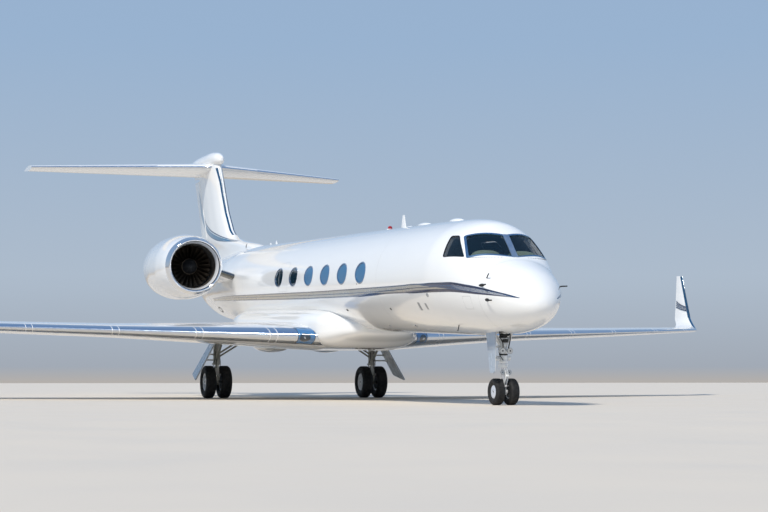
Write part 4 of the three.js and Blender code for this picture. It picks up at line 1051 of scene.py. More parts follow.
def tail():
    heights = np.concatenate([np.linspace(700, 2404, 48), np.linspace(2404, 4030, 14)[1:]])
    rings = [fin_ring(z) for z in heights]
    skin = Skin([open_foil(ring) for ring in rings])
    blank = loft("blank", rings)
    stations = [fin_hinge(z) for z in (RUDDER["low"], RUDDER["high"])]
    span = {"low": RUDDER["low"], "high": RUDDER["high"], "under": 60, "front": stations[0][0][1],
            "opening": 70, "spot": along_z}
    turns = (TURN["rudder"], TURN["rudder"])
    surface, cove = hinged_tools(extended(stations, 900), PORT_FACING, turns, span, PORT)
    span_end = STABILIZER[-1][0]
    tail_rings = [tail_ring(STABILIZER, x) for x in np.linspace(-span_end, span_end, 33)]
    tailplane = loft("tailplane", tail_rings)
    cap = loft("cap", bullet_rings(TOUCH))
    fin = copied(blank, "fin_skin")
    gaps = [copied(tailplane, "near", (0, -TOUCH, rise)) for rise in (-TOUCH, TOUCH)]
    cut(fin, cove, tube("body", 15000, CUTS["end"], -TOUCH), *gaps, cap)
    dress(shade(fin, skin), "airframe", "body_paint", WHITE, instead=("fin",))
    rudder = kept_in(copied(blank, "rudder_skin"), surface)
    dress(shade(rudder, skin), "rudder", "body_paint", WHITE, instead=("rudder",))

    tail_skin = Skin([open_foil(ring) for ring in tail_rings])
    coves = []
    for name, side in SIDES.items():
        stations = [elevator_hinge(x) for x in (ELEVATOR["inner"], ELEVATOR["outer"])]
        span = {"low": ELEVATOR["inner"], "high": ELEVATOR["outer"], "under": 32,
                "front": stations[0][0][1], "opening": 60, "spot": along_x}
        turns = (TURN["elevator"], TURN["elevator"])
        surface, cove = hinged_tools(extended(stations, 500), UPWARD, turns, span, side)
        coves.append(cove)
        piece = kept_in(copied(tailplane, f"elevator_{name}_skin"), surface)
        dress(shade(piece, tail_skin), f"elevator_{name}", "body_paint", WHITE, instead=(f"elevator_{name}",))

    def tail_edge(middles, normals):
        lead = np.array([row_at(STABILIZER, abs(x))[0] for x in middles[:, 0]])
        return (middles[:, 1] - lead < STABILIZER_EDGE).astype(int)

    plane = cut(copied(tailplane, "stabilizer_skin"), *coves, cap)
    dress(shade(plane, tail_skin), "airframe", "body_paint", WHITE, POLISHED, pick=tail_edge,
          instead=("stabilizer",))
    bullet = loft("bullet_skin", bullet_rings(0))
    dress(shade(bullet), "airframe", "body_paint", WHITE, instead=("bullet_fairing",))


tail()


# Engines, drawn about their own axis with the inlet at zero
NACELLE_OUTSIDE = [
    (738, 40), (795, 260), (865, 760), (918, 1500), (922, 2500), (860, 3900), (548, 5200),
]
NACELLE_INSIDE = [(672, 35), (640, 180), (604, 540), (622, 900), (640, 1500), (652, 3900), (526, 5196)]
LIP_END = 250
LIP_DEPTH = 320
FAN = {"blades": 24, "place": 1020, "root": 190, "tip": 590, "chords": (150, 215), "pitches": (38, 62)}
TURNED_SIDES = 96


def engine_matrix(side):
    turn = Matrix.Rotation(side * ENGINE["toe"], 4, "Z")
    shift = Matrix.Translation((side * ENGINE["x"] * MM, ENGINE["y"] * MM, ENGINE["z"] * MM))
    return AIR @ shift @ turn


def turned_rings(profile, sides=TURNED_SIDES, axis="Y", middle=(0, 0, 0)):
    """Rings about the Y or X axis from pairs of radius and place."""
    angle = turns_of(sides)
    rings = []
    for radius, place in profile:
        round_about = radius * np.cos(angle), radius * np.sin(angle)
        flat = np.full(sides, float(place))
        spots = (round_about[0], flat, round_about[1]) if axis == "Y" else (flat, *round_about)
        rings.append(np.stack(spots, 1) + middle)
    return np.array(rings)


def turned(name, profile, matrix, sides=TURNED_SIDES, axis="Y", middle=(0, 0, 0), closed=True):
    """A ring of revolution whose profile closes on itself, or a solid whose profile ends on its axis."""
    rings = turned_rings(profile, sides, axis, middle)
    if closed:
        return solid(name, rings, closed_grid(len(rings), sides), matrix=matrix)
    return loft(name, rings, matrix=matrix)


def nacelle_profiles():
    """The cowl's outside and inside as curves of radius over place, and the rounded lip between them."""
    outside, inside = [smooth_through(*np.transpose(rows)[::-1]) for rows in (NACELLE_OUTSIDE, NACELLE_INSIDE)]
    angle = np.linspace(-1, 1, 15) * math.pi / 2
    lip = np.stack([705 + 33 * np.sin(angle), 37.5 - 37 * np.cos(angle)], 1)
    return outside, inside, lip


def nacelle(name, matrix):
    outside, inside, lip = nacelle_profiles()

    def shell(part, profile, slot, finish, **more):
        dress(shade(turned(f"nacelle_{name}_{part}", profile, matrix)), "airframe", slot, finish, **more)

    front = np.linspace(45, LIP_END, 10)
    lip_ring = [(inside(70), 70), *lip, *zip(outside(front), front)]
    lip_ring += [(outside(LIP_END) - 30, LIP_END), (inside(70) + 20, 70)]
    shell("lip", lip_ring, "nacelle_paint", CHROME, instead=(f"nacelle_{name}",))
    throat = np.linspace(71, LIP_DEPTH, 22)
    throat_ring = [*zip(inside(throat), throat), (inside(LIP_DEPTH) + 20, LIP_DEPTH), (inside(71) + 20, 71)]
    shell("throat", throat_ring, "nacelle_paint", THROAT)
    along = np.linspace(LIP_END + 4, 4250, 34)
    back = along[::-1]
    cowl = [*zip(outside(along), along), *zip(outside(back) - 28, back)]
    shell("cowl", cowl, "nacelle_paint", WHITE)
    aft = np.linspace(4256, 5196, 14)
    nozzle = [*zip(outside(aft), aft), *zip(inside(aft[::-1]), aft[::-1])]
    shell("nozzle", nozzle, "nacelle_paint", NOZZLE)
    duct = np.linspace(LIP_DEPTH + 2, 4256, 40)
    lining = [*zip(inside(duct), duct), *zip(inside(duct[::-1]) + 14, duct[::-1])]
    shell("duct", lining, "engine_metal", DUCT)


def blade_rings(turn):
    """Sections of one curved, twisted blade from its root to its tip."""
    rings = []
    share = np.linspace(0, 1, 9)
    along = np.array([-0.5, -0.3, 0, 0.3, 0.5])
    skin = np.array([0.6, 3.2, 4.5, 3.2, 0.6])
    for part in share:
        radius = FAN["root"] + part * (FAN["tip"] - FAN["root"])
        chord = FAN["chords"][0] + part * (FAN["chords"][1] - FAN["chords"][0])
        pitch = math.radians(FAN["pitches"][0] + part * (FAN["pitches"][1] - FAN["pitches"][0]))
        camber = 14 * (1 - (2 * along) ** 2) * (1 - 0.6 * part)
        sweep = 26 * math.sin(part * math.pi)
        loops = []
        for face in (1, -1):
            reach, across = along * chord, camber + face * skin * (1.3 - 0.7 * part)
            loops.append(np.stack([
                reach * math.sin(pitch) + across * math.cos(pitch),
                FAN["place"] + sweep + reach * math.cos(pitch) - across * math.sin(pitch),
                np.full(5, radius),
            ], 1))
        rings.append(np.concatenate([loops[0], loops[1][::-1]]))
    spin = np.array(Matrix.Rotation(turn, 3, "Y"))
    return np.array(rings) @ spin.T


def merged(name, parts, matrix=AIR, side=PORT):
    """One piece of several closed lofts."""
    points, faces = [], []
    for rings in parts:
        rings = np.asarray(rings, float)
        rows, count = rings.shape[:2]
        base = sum(len(part) for part in points)
        points.append(rings.reshape(-1, 3))
        faces += grid_faces(rows, count, True, base)
        faces += [[base + spot for spot in range(count)],
                  [base + (rows - 1) * count + spot for spot in range(count)]]
    return solid(name, np.concatenate(points), faces, side, matrix)


def fitting(name, parts, finish, slot="body_paint", body="airframe", matrix=AIR, side=PORT, **more):
    """A dressed piece of several closed lofts."""
    return dress(shade(merged(name, parts, matrix, side)), body, slot, finish, **more)


def fan(name, matrix):
    turns = [index / FAN["blades"] * 2 * math.pi for index in range(FAN["blades"])]
    blades = merged(f"fan_{name}_blades", [blade_rings(turn) for turn in turns], matrix)
    dress(shade(blades), f"fan_{name}", "fan_metal", FAN_METAL, instead=(f"fan_{name}",))
    nose = smooth_through([0, 60, 130, 200, 236], [2, 80, 142, 190, 205])
    cone = [(nose(step), 710 + step) for step in np.linspace(0, 236, 20)]
    cone += [(212, 966), (212, 1120), (40, 1124)]
    spinner = turned(f"fan_{name}_spinner", cone, matrix, closed=False)
    dress(shade(spinner), f"fan_{name}", "fan_metal", DARK)
    ring = turned(f"fan_{name}_spinner_ring", [(210, 946), (218, 949), (223, 960), (206, 962)], matrix)
    dress(shade(ring), f"fan_{name}", "fan_metal", SPINNER_RING)


def core(name, matrix):
    outer = smooth_through([1145, 1440, 2400, 3600, 4300, 4700], [330, 430, 440, 438, 300, 112])
    along = np.linspace(1145, 4700, 60)
    body = [(20, 1145), *zip(outer(along), along), (60, 4790), (6, 4800)]
    centre = turned(f"engine_core_{name}_body", body, matrix, closed=False)
    dress(shade(centre), "airframe", "engine_metal", TITANIUM, instead=(f"engine_core_{name}",))
    vane = [(-12, 1250), (-4, 1300), (3, 1360), (7, 1300), (1, 1250)]
    strut = [(0, 1900), (14, 2020), (14, 2450), (0, 2600), (-14, 2450), (-14, 2020)]
    vanes = []
    for count, outline, radii in ((36, vane, (352, 633)), (5, strut, (400, 640))):
        section = np.array(outline)
        rings = [level_ring(*section.T, radius) for radius in radii]
        for index in range(count):
            spin = np.array(Matrix.Rotation(index / count * 2 * math.pi, 3, "Y"))
            vanes.append(np.array(rings) @ spin.T)
    fitting(f"engine_vanes_{name}", vanes, STEEL, "engine_metal", matrix=matrix)
    lobes = 12
    angle = turns_of(TURNED_SIDES)
    rings = []
    for radius, wave, place in ((480, 0, 3700), (486, 12, 3900), (478, 55, 4250), (452, 88, 4620)):
        reach = radius + wave * np.cos(lobes * angle)
        rings.append(flat_ring(place, reach * np.cos(angle), reach * np.sin(angle)))
    rings = np.array(rings)
    inner = rings[::-1] * (0.975, 1, 0.975)
    both = np.concatenate([rings, inner])
    mixer = solid(f"engine_mixer_{name}", both, closed_grid(*both.shape[:2]), matrix=matrix)
    dress(shade(mixer), "airframe", "engine_metal", TITANIUM)


def pylon(name, side):
    rings = [tail_ring(PYLON, x) for x in np.linspace(700, 2300, 15)]
    piece = loft(f"pylon_{name}_skin", rings, side)
    outside, _, lip = nacelle_profiles()
    along = np.linspace(45, 5196, 60)
    block_profile = [(5, 0.5), *lip[7:], *zip(outside(along) + TOUCH, along), (5, 5197)]
    nacelle_block = turned("block", block_profile, engine_matrix(side), closed=False)
    cut(piece, nacelle_block, tube("body", 15000, CUTS["end"], -TOUCH))

    def edge(middles, normals):
        lead = np.array([row_at(PYLON, abs(x))[0] for x in middles[:, 0]])
        return (middles[:, 1] - lead < PYLON_EDGE).astype(int)

    skin = Skin([open_foil(ring) for ring in rings], side)
    dress(shade(piece, skin), "airframe", "nacelle_paint", WHITE, BLOCK_METAL, pick=edge,
          instead=(f"pylon_{name}",))


for name, side in SIDES.items():
    nacelle(name, engine_matrix(side))
    fan(name, engine_matrix(side))
    core(name, engine_matrix(side))
    pylon(name, side)


# Small shapes as rings, for pieces of several parts
def rod(start, end, radius, end_radius=None, chamfer=4, sides=28):
    start, end = np.array(start, float), np.array(end, float)
    end_radius = end_radius or radius
    along = unit(end - start) * chamfer
    outer = bar_rings(start, end, radius, end_radius, sides)
    first = bar_rings(start, end, radius - chamfer, end_radius - chamfer, sides)
    return [first[0], outer[0] + along, outer[1] - along, first[1]]


def hose(points, radius, sides=10):
    """A bent round line through points."""
    points = np.array(points, float)
    run = np.concatenate([[0], np.cumsum(np.linalg.norm(np.diff(points, axis=0), axis=1))])
    places = np.linspace(0, run[-1], 6 * len(points))
    path = np.stack([smooth_through(run, column)(places) for column in points.T], 1)
    along = unit(np.gradient(path, axis=0))
    across = unit(np.cross(along, (0.31, 0.22, 0.93)))
    over = np.cross(along, across)
    angle = turns_of(sides)[None, :, None]
    return path[:, None] + radius * (across[:, None] * np.cos(angle) + over[:, None] * np.sin(angle))


def slab(outline, facing, thickness, chamfer=4):
    outline = np.asarray(outline, float)
    along = unit(facing)
    inner = drawn_in(outline, chamfer)
    reach = thickness / 2
    return [inner - along * reach, outline - along * (reach - chamfer), outline + along * (reach - chamfer),
            inner + along * reach]


def brick(low, high, chamfer=5):
    (x0, y0, z0), (x1, y1, z1) = low, high
    middle = (z0 + z1) / 2
    corners = [(x0, y0, middle), (x1, y0, middle), (x1, y1, middle), (x0, y1, middle)]
    outline = rounded(corners, chamfer * 1.5, 3)
    return slab(outline, UPWARD, z1 - z0, chamfer)


def wheel_place(gear, side=PORT):
    return np.array((gear["x"] * side, gear["y"], gear["radius"]), float)


def tyre(name, gear, middle, body, node):
    rim, half = gear["rim"] + TOUCH, gear["width"] / 2
    wall = gear["radius"] - rim
    wide = smooth_through([0, 0.1, 0.28, 0.45, 0.65, 0.8, 0.9, 0.97, 1],
                          [0.62, 0.8, 0.95, 1, 0.985, 0.91, 0.8, 0.66, 0.56])
    high = np.concatenate([np.linspace(0, 0.7, 12), np.linspace(0.74, 0.985, 9)])
    side_wall = [(rim + part * wall, half * float(wide(part))) for part in high]
    groove, depth = 0.045 * half, 0.02 * gear["radius"]
    tread = []
    for place in np.array((0.42, 0.14, -0.14, -0.42)) * half:
        crown = gear["radius"] - 5 * (place / half) ** 2
        tread += [(crown, place + groove), (crown - depth, place + groove * 0.6),
                  (crown - depth, place - groove * 0.6), (crown, place - groove)]
    profile = side_wall + tread + [(radius, -place) for radius, place in reversed(side_wall)]
    piece = turned(name, profile, GROUND, 72, "X", middle)
    dress(shade(piece, crease=40), body, "tyre_rubber", RUBBER, instead=(node,))


def wheel(name, gear, middle, out, body, holes):
    """A rim with a dished disc facing the way of out, its openings, bolts and cap."""
    rim, half = gear["rim"], gear["width"] / 2
    bore = gear["axle"]

    def spots(rows):
        return [(radius, place * out) for radius, place in rows]

    face = spots([
        (rim, -half * 0.6), (rim, half * 0.62), (rim * 0.99, half * 0.66), (rim * 0.93, half * 0.64),
        (rim * 0.9, half * 0.55), (rim * 0.87, half * 0.3), (rim * 0.8, half * 0.2), (rim * 0.62, half * 0.24),
        (rim * 0.44, half * 0.34), (rim * 0.38, half * 0.5), (bore, half * 0.52), (bore, half * 0.1),
        (rim * 0.4, half * 0.08), (rim * 0.8, -half * 0.02), (rim * 0.86, -half * 0.1),
        (rim * 0.9, -half * 0.58),
    ])
    piece = turned(f"{name}_rim", face, GROUND, 72, "X", middle)
    for turn in turns_of(holes):
        y, z = middle[1] + rim * 0.64 * math.cos(turn), middle[2] + rim * 0.64 * math.sin(turn)
        ends = [(middle[0] + reach, y, z) for reach in (-half, half)]
        cut(piece, bar_tool(*ends, rim * 0.13, sides=20, matrix=GROUND))
    dress(shade(piece), body, "wheel_hub", HUB_WITH_PAINTED_LIGHT)
    bolts = []
    for turn in np.arange(2 * holes) / holes * math.pi + math.pi / holes / 2:
        y, z = middle[1] + rim * 0.83 * math.cos(turn), middle[2] + rim * 0.83 * math.sin(turn)
        start = middle[0] + out * half * 0.2
        bolts.append(rod((start, y, z), (start + out * 12, y, z), rim * 0.03, chamfer=1.5, sides=6))
    fitting(f"{name}_bolts", bolts, STEEL, "wheel_hub", body, matrix=GROUND)
    reach = middle[0] + out * half * 0.5
    hub_end = reach + out * half * 0.2
    cap = [rod((reach - out * 20, *middle[1:]), (hub_end, *middle[1:]), rim * 0.3, rim * 0.22)]
    fitting(f"{name}_cap", cap, HUB_WITH_PAINTED_LIGHT, "wheel_hub", body, matrix=GROUND)
    dot = [rod((hub_end - out * 2, *middle[1:]), (hub_end + out * 3, *middle[1:]), rim * 0.12, chamfer=1)]
    fitting(f"{name}_cap_centre", dot, DARK, "wheel_hub", body, matrix=GROUND)
    brake_ends = [(middle[0] - out * half * part, *middle[1:]) for part in (0.55, 0.05)]
    brake = [rod(*brake_ends, rim * 0.78)]
    fitting(f"{name}_brake", brake, DARK, "wheel_hub", body, matrix=GROUND)


def axle_pair(name, gear, body, side=PORT):
    middle = wheel_place(gear, side)
    reach = gear["spread"] + gear["width"] * 0.2
    axle = [rod(middle - (reach, 0, 0), middle + (reach, 0, 0), gear["axle"])]
    fitting(f"{name}_axle", axle, STEEL, "wheel_hub", body, matrix=GROUND, instead=(name,))


def link_plates(x, y, gap, thick, outlines):
    """Flat plates on both sides of a joint, from outlines of places beside y and heights."""
    return [slab([(x + step, y + along, z) for along, z in outline], PORT_FACING, thick)
            for step in (-gap, gap) for outline in outlines]


def main_gear(name, side):
    middle = wheel_place(MAIN_GEAR, side)
    for place, out in (("outer", side), ("inner", -side)):
        spot = middle + (out * MAIN_GEAR["spread"], 0, 0)
        body = f"main_wheels_{name}"
        tyre(f"main_tyre_{name}_{place}_tread", MAIN_GEAR, spot, body, f"main_tyre_{name}_{place}")
        wheel(f"main_wheel_{name}_{place}", MAIN_GEAR, spot, out, body, 9)
    axle_pair(f"main_hubs_{name}", MAIN_GEAR, f"main_wheels_{name}", side)

    x, y, radius = MAIN_GEAR["x"], MAIN_GEAR["y"], MAIN_GEAR["radius"]
    casting = [
        rod((x, y - 60, 1690), (x, y - 25, 890), 92),
        rod((x, y - 25, 885), (x, y - 25, 935), 118),
        rod((x, y - 40, 1130), (x, y - 39, 1160), 104),
        rod((x, y - 46, 1240), (x, y - 45, 1265), 100),
        rod((x, y - 50, 1150), (x - 720, y - 80, 1600), 24),
        rod((x, y - 50, 1060), (x - 720, y - 80, 1510), 24),
        rod((x, y - 50, 1000), (x + 40, y - 820, 1560), 34),
        rod((x + 9, y - 205, 1113), (x + 14, y - 282, 1169), 48),
        brick((x - 40, y - 140, 930), (x + 40, y - 60, 1010)),
    ]
    fork = [
        rod((x - 62, y, radius), (x + 62, y, radius), 80),
        rod((x, y - 4, radius + 60), (x, y, radius + 10), 66),
        rod((x, y, radius), (x, y - 130, radius + 8), 44, 36),
        rod((x - 40, y + 58, 885), (x + 40, y + 58, 885), 30),
        rod((x - 34, y + 200, 695), (x + 34, y + 200, 695), 26),
        rod((x - 40, y + 40, 505), (x + 40, y + 40, 505), 28),
    ]
    fork += link_plates(x, y, 24, 14, ([(40, 915), (75, 860), (218, 680), (182, 676)],
                                       [(180, 712), (216, 708), (60, 490), (24, 520)]))
    course = [(60, -130, 1240), (70, -128, 1050), (95, -60, 900), (60, 30, 640), (70, 50, 480)]
    lines = [hose([(x + out * across, y + along, z) for across, along, z in course], 9) for out in (1, -1)]
    course = [(20, -158, 1240), (24, -150, 1000), (30, -146, 880), (28, -70, 700)]
    lines.append(hose([(x + across, y + along, z) for across, along, z in course], 7))
    front = [(-50, 1000), (50, 1000), (46, 800), (64, 650), (64, 520), (44, 430), (-44, 430), (-64, 520),
             (-64, 650), (-46, 800)]
    # The fork plate, the castings and the links are coloured with painted shade of the wing's shadow
    plate = slab([(x + across, y - 96, z) for across, z in front], (0, 1, 0), 56, 8)
    hole = bar_tool((x * side, y - 200, 585), (x * side, y, 585), 27, matrix=GROUND)
    casting_front = cut(merged(f"main_leg_{name}_fork", [plate], GROUND, side), hole)
    dress(shade(casting_front), "airframe", "gear_paint", FORK_PAINTED_SHADE)
    above = loft("above", wing_rings, side)
    leg = merged(f"main_leg_{name}_casting", casting, GROUND, side)
    dress(shade(cut(leg, above)), "airframe", "gear_paint", LEG_PAINTED_SHADE, instead=(f"main_leg_{name}",))
    fitting(f"main_leg_{name}_links", fork, LEG_PAINTED_SHADE, "gear_paint", matrix=GROUND, side=side)
    piston = [rod((x, y - 25, 900), (x, y - 4, radius + 40), 52)]
    fitting(f"main_leg_{name}_piston", piston, OLEO, "gear_paint", matrix=GROUND, side=side)
    fitting(f"main_leg_{name}_lines", lines, DARK, "gear_paint", matrix=GROUND, side=side)

    top, foot = (x + 77, 1640), (x + 732, 470)

    def plate_x(z):
        return top[0] + (top[1] - z) / (top[1] - foot[1]) * (foot[0] - top[0])

    plate = rounded([(top[0], y - 590, top[1]), (top[0], y - 60, top[1]), (plate_x(620), y - 35, 620),
                     (foot[0], y - 705, foot[1])], 60)
    facing = unit((top[1] - foot[1], 0, foot[0] - top[0]))
    door = merged(f"main_gear_door_{name}_plate", [slab(plate, facing, 36, 8)], GROUND, side)
    dress(shade(cut(door, above)), "airframe", "gear_paint", DOOR_BLUE, GEAR_WHITE,
          pick=lambda middles, normals: (normals[:, 0] * side < -0.3).astype(int),
          instead=(f"main_gear_door_{name}",))
    arms = []
    for z in (1160, 1010):
        reach = plate_x(z) - 18
        arms.append(rod((x + 60, y - 50, z), (reach, y - 150, z), 20))
        arms.append(rod((reach - 44, y - 135, z), (reach, y - 150, z), 30, 44))
    fitting(f"main_gear_door_{name}_arms", arms, GEAR_WHITE, "gear_paint", matrix=GROUND, side=side)


def lamp(name, centre, facing, radius, depth, body):
    """A lamp can with its bright bowl and a dark bulb."""
    centre, along = np.array(centre, float), unit(facing)
    can = [rod(centre - along * depth, centre - along * 4, radius * 0.7, radius)]
    fitting(f"{name}_can", can, STEEL, "gear_paint", body, matrix=GROUND)
    bowl = [rod(centre - along * 5, centre, radius * 0.92, chamfer=2)]
    fitting(f"{name}_bowl", bowl, LAMP, "gear_paint", body, matrix=GROUND)
    dot = [rod(centre - along * 2, centre + along * 3, radius * 0.25, chamfer=2)]
    fitting(f"{name}_bulb", dot, DARK, "gear_paint", body, matrix=GROUND)


def nose_gear():
    y, radius = NOSE_GEAR["y"], NOSE_GEAR["radius"]
    middle = wheel_place(NOSE_GEAR)
    for name, side in SIDES.items():
        spot = middle + (side * NOSE_GEAR["spread"], 0, 0)
        tyre(f"nose_tyre_{name}_tread", NOSE_GEAR, spot, "nose_wheels", f"nose_tyre_{name}")
        wheel(f"nose_wheel_{name}", NOSE_GEAR, spot, side, "nose_wheels", 8)
        rim, half = NOSE_GEAR["rim"], NOSE_GEAR["width"] / 2
        rows = [(0.94, 0.66), (0.92, 0.71), (0.6, 0.75), (0.3, 0.77), (0.27, 0.74), (0.27, 0.66)]
        disc = [(rim * radius, side * half * place) for radius, place in rows]
        cover = turned(f"nose_wheel_{name}_cover", disc, GROUND, 72, "X", spot)
        dress(shade(cover), "nose_wheels", "wheel_hub", COVER)
    axle_pair("nose_hubs", NOSE_GEAR, "nose_wheels")
    upper = [
        rod((0, y, 1590), (0, y, 800), 76),
        rod((0, y, 800), (0, y, 850), 92),
        rod((0, y, 1120), (0, y, 1180), 90),
        rod((-250, y, 1480), (250, y, 1480), 40),
        rod((0, y, 1000), (0, y + 620, 1560), 34),
        rod((-40, y + 10, 1000), (40, y + 10, 1000), 42),
        rod((0, y + 290, 1262), (0, y + 350, 1316), 46),
        *[rod((out * 225, y, 1470), (out * 72, y, 1150), 26) for out in (-1, 1)],
        brick((-130, y - 120, 1012), (130, y - 66, 1058)),
        rod((-150, y + 20, 900), (150, y + 20, 900), 34),
        rod((-150, y + 20, 900), (-80, y + 20, 900), 46),
        rod((80, y + 20, 900), (150, y + 20, 900), 46),
    ]
    above = cut(tube("above", CUTS["nose"], CUTS["front"]),
                block("bay", (-NOSE_BAY["half"], NOSE_BAY["front"], -1400),
                      (NOSE_BAY["half"], NOSE_BAY["rear"], NOSE_BAY["roof"])))
    leg = cut(merged("nose_leg_upper_casting", upper, GROUND), above)
    dress(shade(leg), "airframe", "gear_paint", GEAR_WHITE, instead=("nose_leg_upper",))
    for name, side in SIDES.items():
        lamp(f"landing_lamp_{name}", (side * 78, y - 150, 1040), (0, -1, -0.05), 62, 70, "airframe")
    lower = [
        rod((0, y, 715), (0, y, 790), 100),
        rod((-62, y, radius), (62, y, radius), 58),
        rod((0, y, radius + 70), (0, y, radius + 10), 56),
        rod((-34, y - 92, 740), (34, y - 92, 740), 24),
        rod((-32, y - 172, 560), (32, y - 172, 560), 22),
        rod((-34, y - 62, 365), (34, y - 62, 365), 24),
        brick((-90, y - 96, 610), (90, y - 70, 650)),
    ]
    lower += link_plates(0, y, 22, 12, ([(-74, 755), (-104, 722), (-190, 560), (-158, 548)],
                                        [(-160, 578), (-190, 566), (-70, 346), (-40, 368)]))
    fitting("nose_leg_lower_casting", lower, GEAR_WHITE, "gear_paint", "nose_fork", matrix=GROUND,
            instead=("nose_leg_lower",))
    piston = [rod((0, y, 960), (0, y, radius + 40), 46)]
    fitting("nose_leg_lower_piston", piston, OLEO, "gear_paint", "nose_fork", matrix=GROUND)
    for name, side in SIDES.items():
        lamp(f"taxi_lamp_{name}", (side * 74, y - 128, 630), (0, -1, 0), 46, 52, "nose_fork")
    line = hose([(-50, y + 70, 1300), (-70, y + 60, 1050), (-90, y - 40, 960), (-40, y - 84, 860)], 7)
    fitting("nose_leg_lines", [line], DARK, "gear_paint", matrix=GROUND)
    collars = [
        rod((0, y, 1290), (0, y, 1334), 82),
        rod((0, y, 1396), (0, y, 1412), 80),
        rod((0, y, 955), (0, y, 985), 84),
        brick((-52, y - 118, 1200), (52, y - 72, 1268)),
        rod((-90, y - 60, 1350), (90, y - 60, 1350), 24),
        hose([(90, y - 40, 1470), (104, y - 96, 1300), (70, y - 112, 1150), (60, y - 100, 1080)], 11),
        hose([(-110, y - 30, 1480), (-112, y - 96, 1330), (-60, y - 112, 1180), (-50, y - 100, 1080)], 11),
    ]
    fitting("nose_leg_collars", collars, DARK, "gear_paint", matrix=GROUND)

    corners = [(-300, y - 330, 1560), (-300, y + 150, 1560), (-330, y - 130, 610), (-330, y - 330, 610)]
    door = merged("nose_gear_door_plate", [slab(rounded(corners, 60), (-1, 0, 0.03), 30, 8)], GROUND)
    dress(shade(cut(door, above)), "airframe", "gear_paint", DOOR_BLUE, GEAR_WHITE,
          pick=lambda middles, normals: (normals[:, 0] > 0.3).astype(int), instead=("nose_gear_door",))
    arms = [rod((-80, y - 12, z), (-316, y - 120, z), 18) for z in (1120, 880)]
    arms += [rod((-298, y - 290, z), (-298, y + 110 - (1560 - z) * 0.295, z), 11) for z in (1250, 1000, 760)]
    fitting("nose_gear_door_arms", arms, GEAR_WHITE, "gear_paint", matrix=GROUND)


for name, side in SIDES.items():
    main_gear(name, side)
nose_gear()


# Stripes, as thin ribbons that follow the skin
UPPER_LINE = [
    (20900, -330), (18236, -286), (13490, -259), (9700, -237), (6831, -203), (4242, -169), (3548, -152),
    (2953, -156), (2298, -155), (1959, -153), (1369, -210), (972, -258), (642, -318), (377, -375), (186, -432),
]
MIDDLE_LINE = [
    (20900, -342), (9754, -311), (5696, -273), (4276, -244), (3349, -221), (2351, -214), (1821, -235),
    (1457, -262), (997, -304), (642, -352), (377, -396), (186, -434),
]
LOWER_LINE = [
    (20900, -400), (11615, -395), (9823, -381), (7169, -358), (6383, -338), (5318, -319), (3705, -301),
    (3007, -290), (2089, -284), (1595, -307), (1170, -343), (637, -385), (371, -413), (186, -437),
]


def line_curve(line):
    rows = np.array(line[::-1], float)
    return smooth_through(rows[:, 0], rows[:, 1])


def ribbon(name, finish, front, rear, low, high, lift=PAINT_LIFT, step=70):
    """A strip of paint on both sides between two curves of height."""
    at = np.linspace(front, rear, max(3, math.ceil((rear - front) / step)))
    for side_name, side in SIDES.items():
        rows = []
        for share, rise in ((0, lift), (0.5, lift), (1, lift), (1, -UNDER_SKIN), (0, -UNDER_SKIN)):
            rows.append(skin_spots(at, low(at) + share * (high(at) - low(at)), side, rise))
        piece = merged(f"{name}_{side_name}", [np.stack(rows, 1)])
        dress(shade(piece, body_skin), "airframe", "body_paint", finish)


def edge_at(curve, offset):
    return lambda at: curve(at) + (offset(at) if callable(offset) else offset)


def stripes():
    upper, middle, lower = line_curve(UPPER_LINE), line_curve(MIDDLE_LINE), line_curve(LOWER_LINE)

    def split_at(at):
        return lower(at) + (upper(at) - lower(at)) * np.clip((at - 1600) / 1850, 0, 1)

    ribbon("stripe_swoosh", BLUE, 200, 3450, split_at, upper, 1.0, 40)
    ribbon("stripe_band", SILVER_GOLD, 1650, 20900, lower, split_at, 1.0, 60)
    thick = smooth_through([186, 600, 1400, 2600, 3300, 20900], [1, 10, 26, 26, 13, 12])
    ribbon("stripe_upper", NAVY, 200, 20900, edge_at(upper, lambda at: -thick(at)), edge_at(upper, thick))
    ribbon("stripe_middle", NAVY, 1900, 20900, edge_at(middle, -9), edge_at(middle, 9))
    low_thick = smooth_through([186, 600, 1500, 2200, 3500, 4200, 5300, 6000, 7000, 7600, 20900],
                               [1, 8, 20, 30, 30, 14, 13, 26, 26, 13, 12])
    ribbon("stripe_lower", NAVY, 200, 20900, edge_at(lower, lambda at: -low_thick(at)),
           edge_at(lower, low_thick))
    for index, share in enumerate((0.2, 0.4, 0.6, 0.8)):
        def line(at, share=share):
            return lower(at) + (0.12 + 0.76 * share) * (upper(at) - lower(at)) + (at - 900) * 0.012

        width = smooth_through([250, 900, 1900], [0.6, 2, 0.5])
        ribbon(f"stripe_white_{index + 1}", WHITE, 300 + 60 * index, 1700 + 60 * index,
               edge_at(line, lambda at: -width(at)), edge_at(line, width), 2.4, 40)


stripes()


# Paint and marks on the tail
def fin_half_at(at, height):
    """Half the fin's thickness at a place and a height."""
    lead, trail, thick = row_at(FIN, height)
    long_lead = long_lead_at(height)
    share = np.clip((at - long_lead) / (trail - long_lead), 0, 1)
    return float(foil_half(share)) * thick * (trail - lead)


def fin_loop(spots, lift):
    """A loop through places and heights over the fin's skin, and back under it."""
    over = [(fin_half_at(at, z) + lift, at, z) for at, z in spots]
    return over + [(fin_half_at(at, z) - UNDER_SKIN, at, z) for at, z in spots[::-1]]


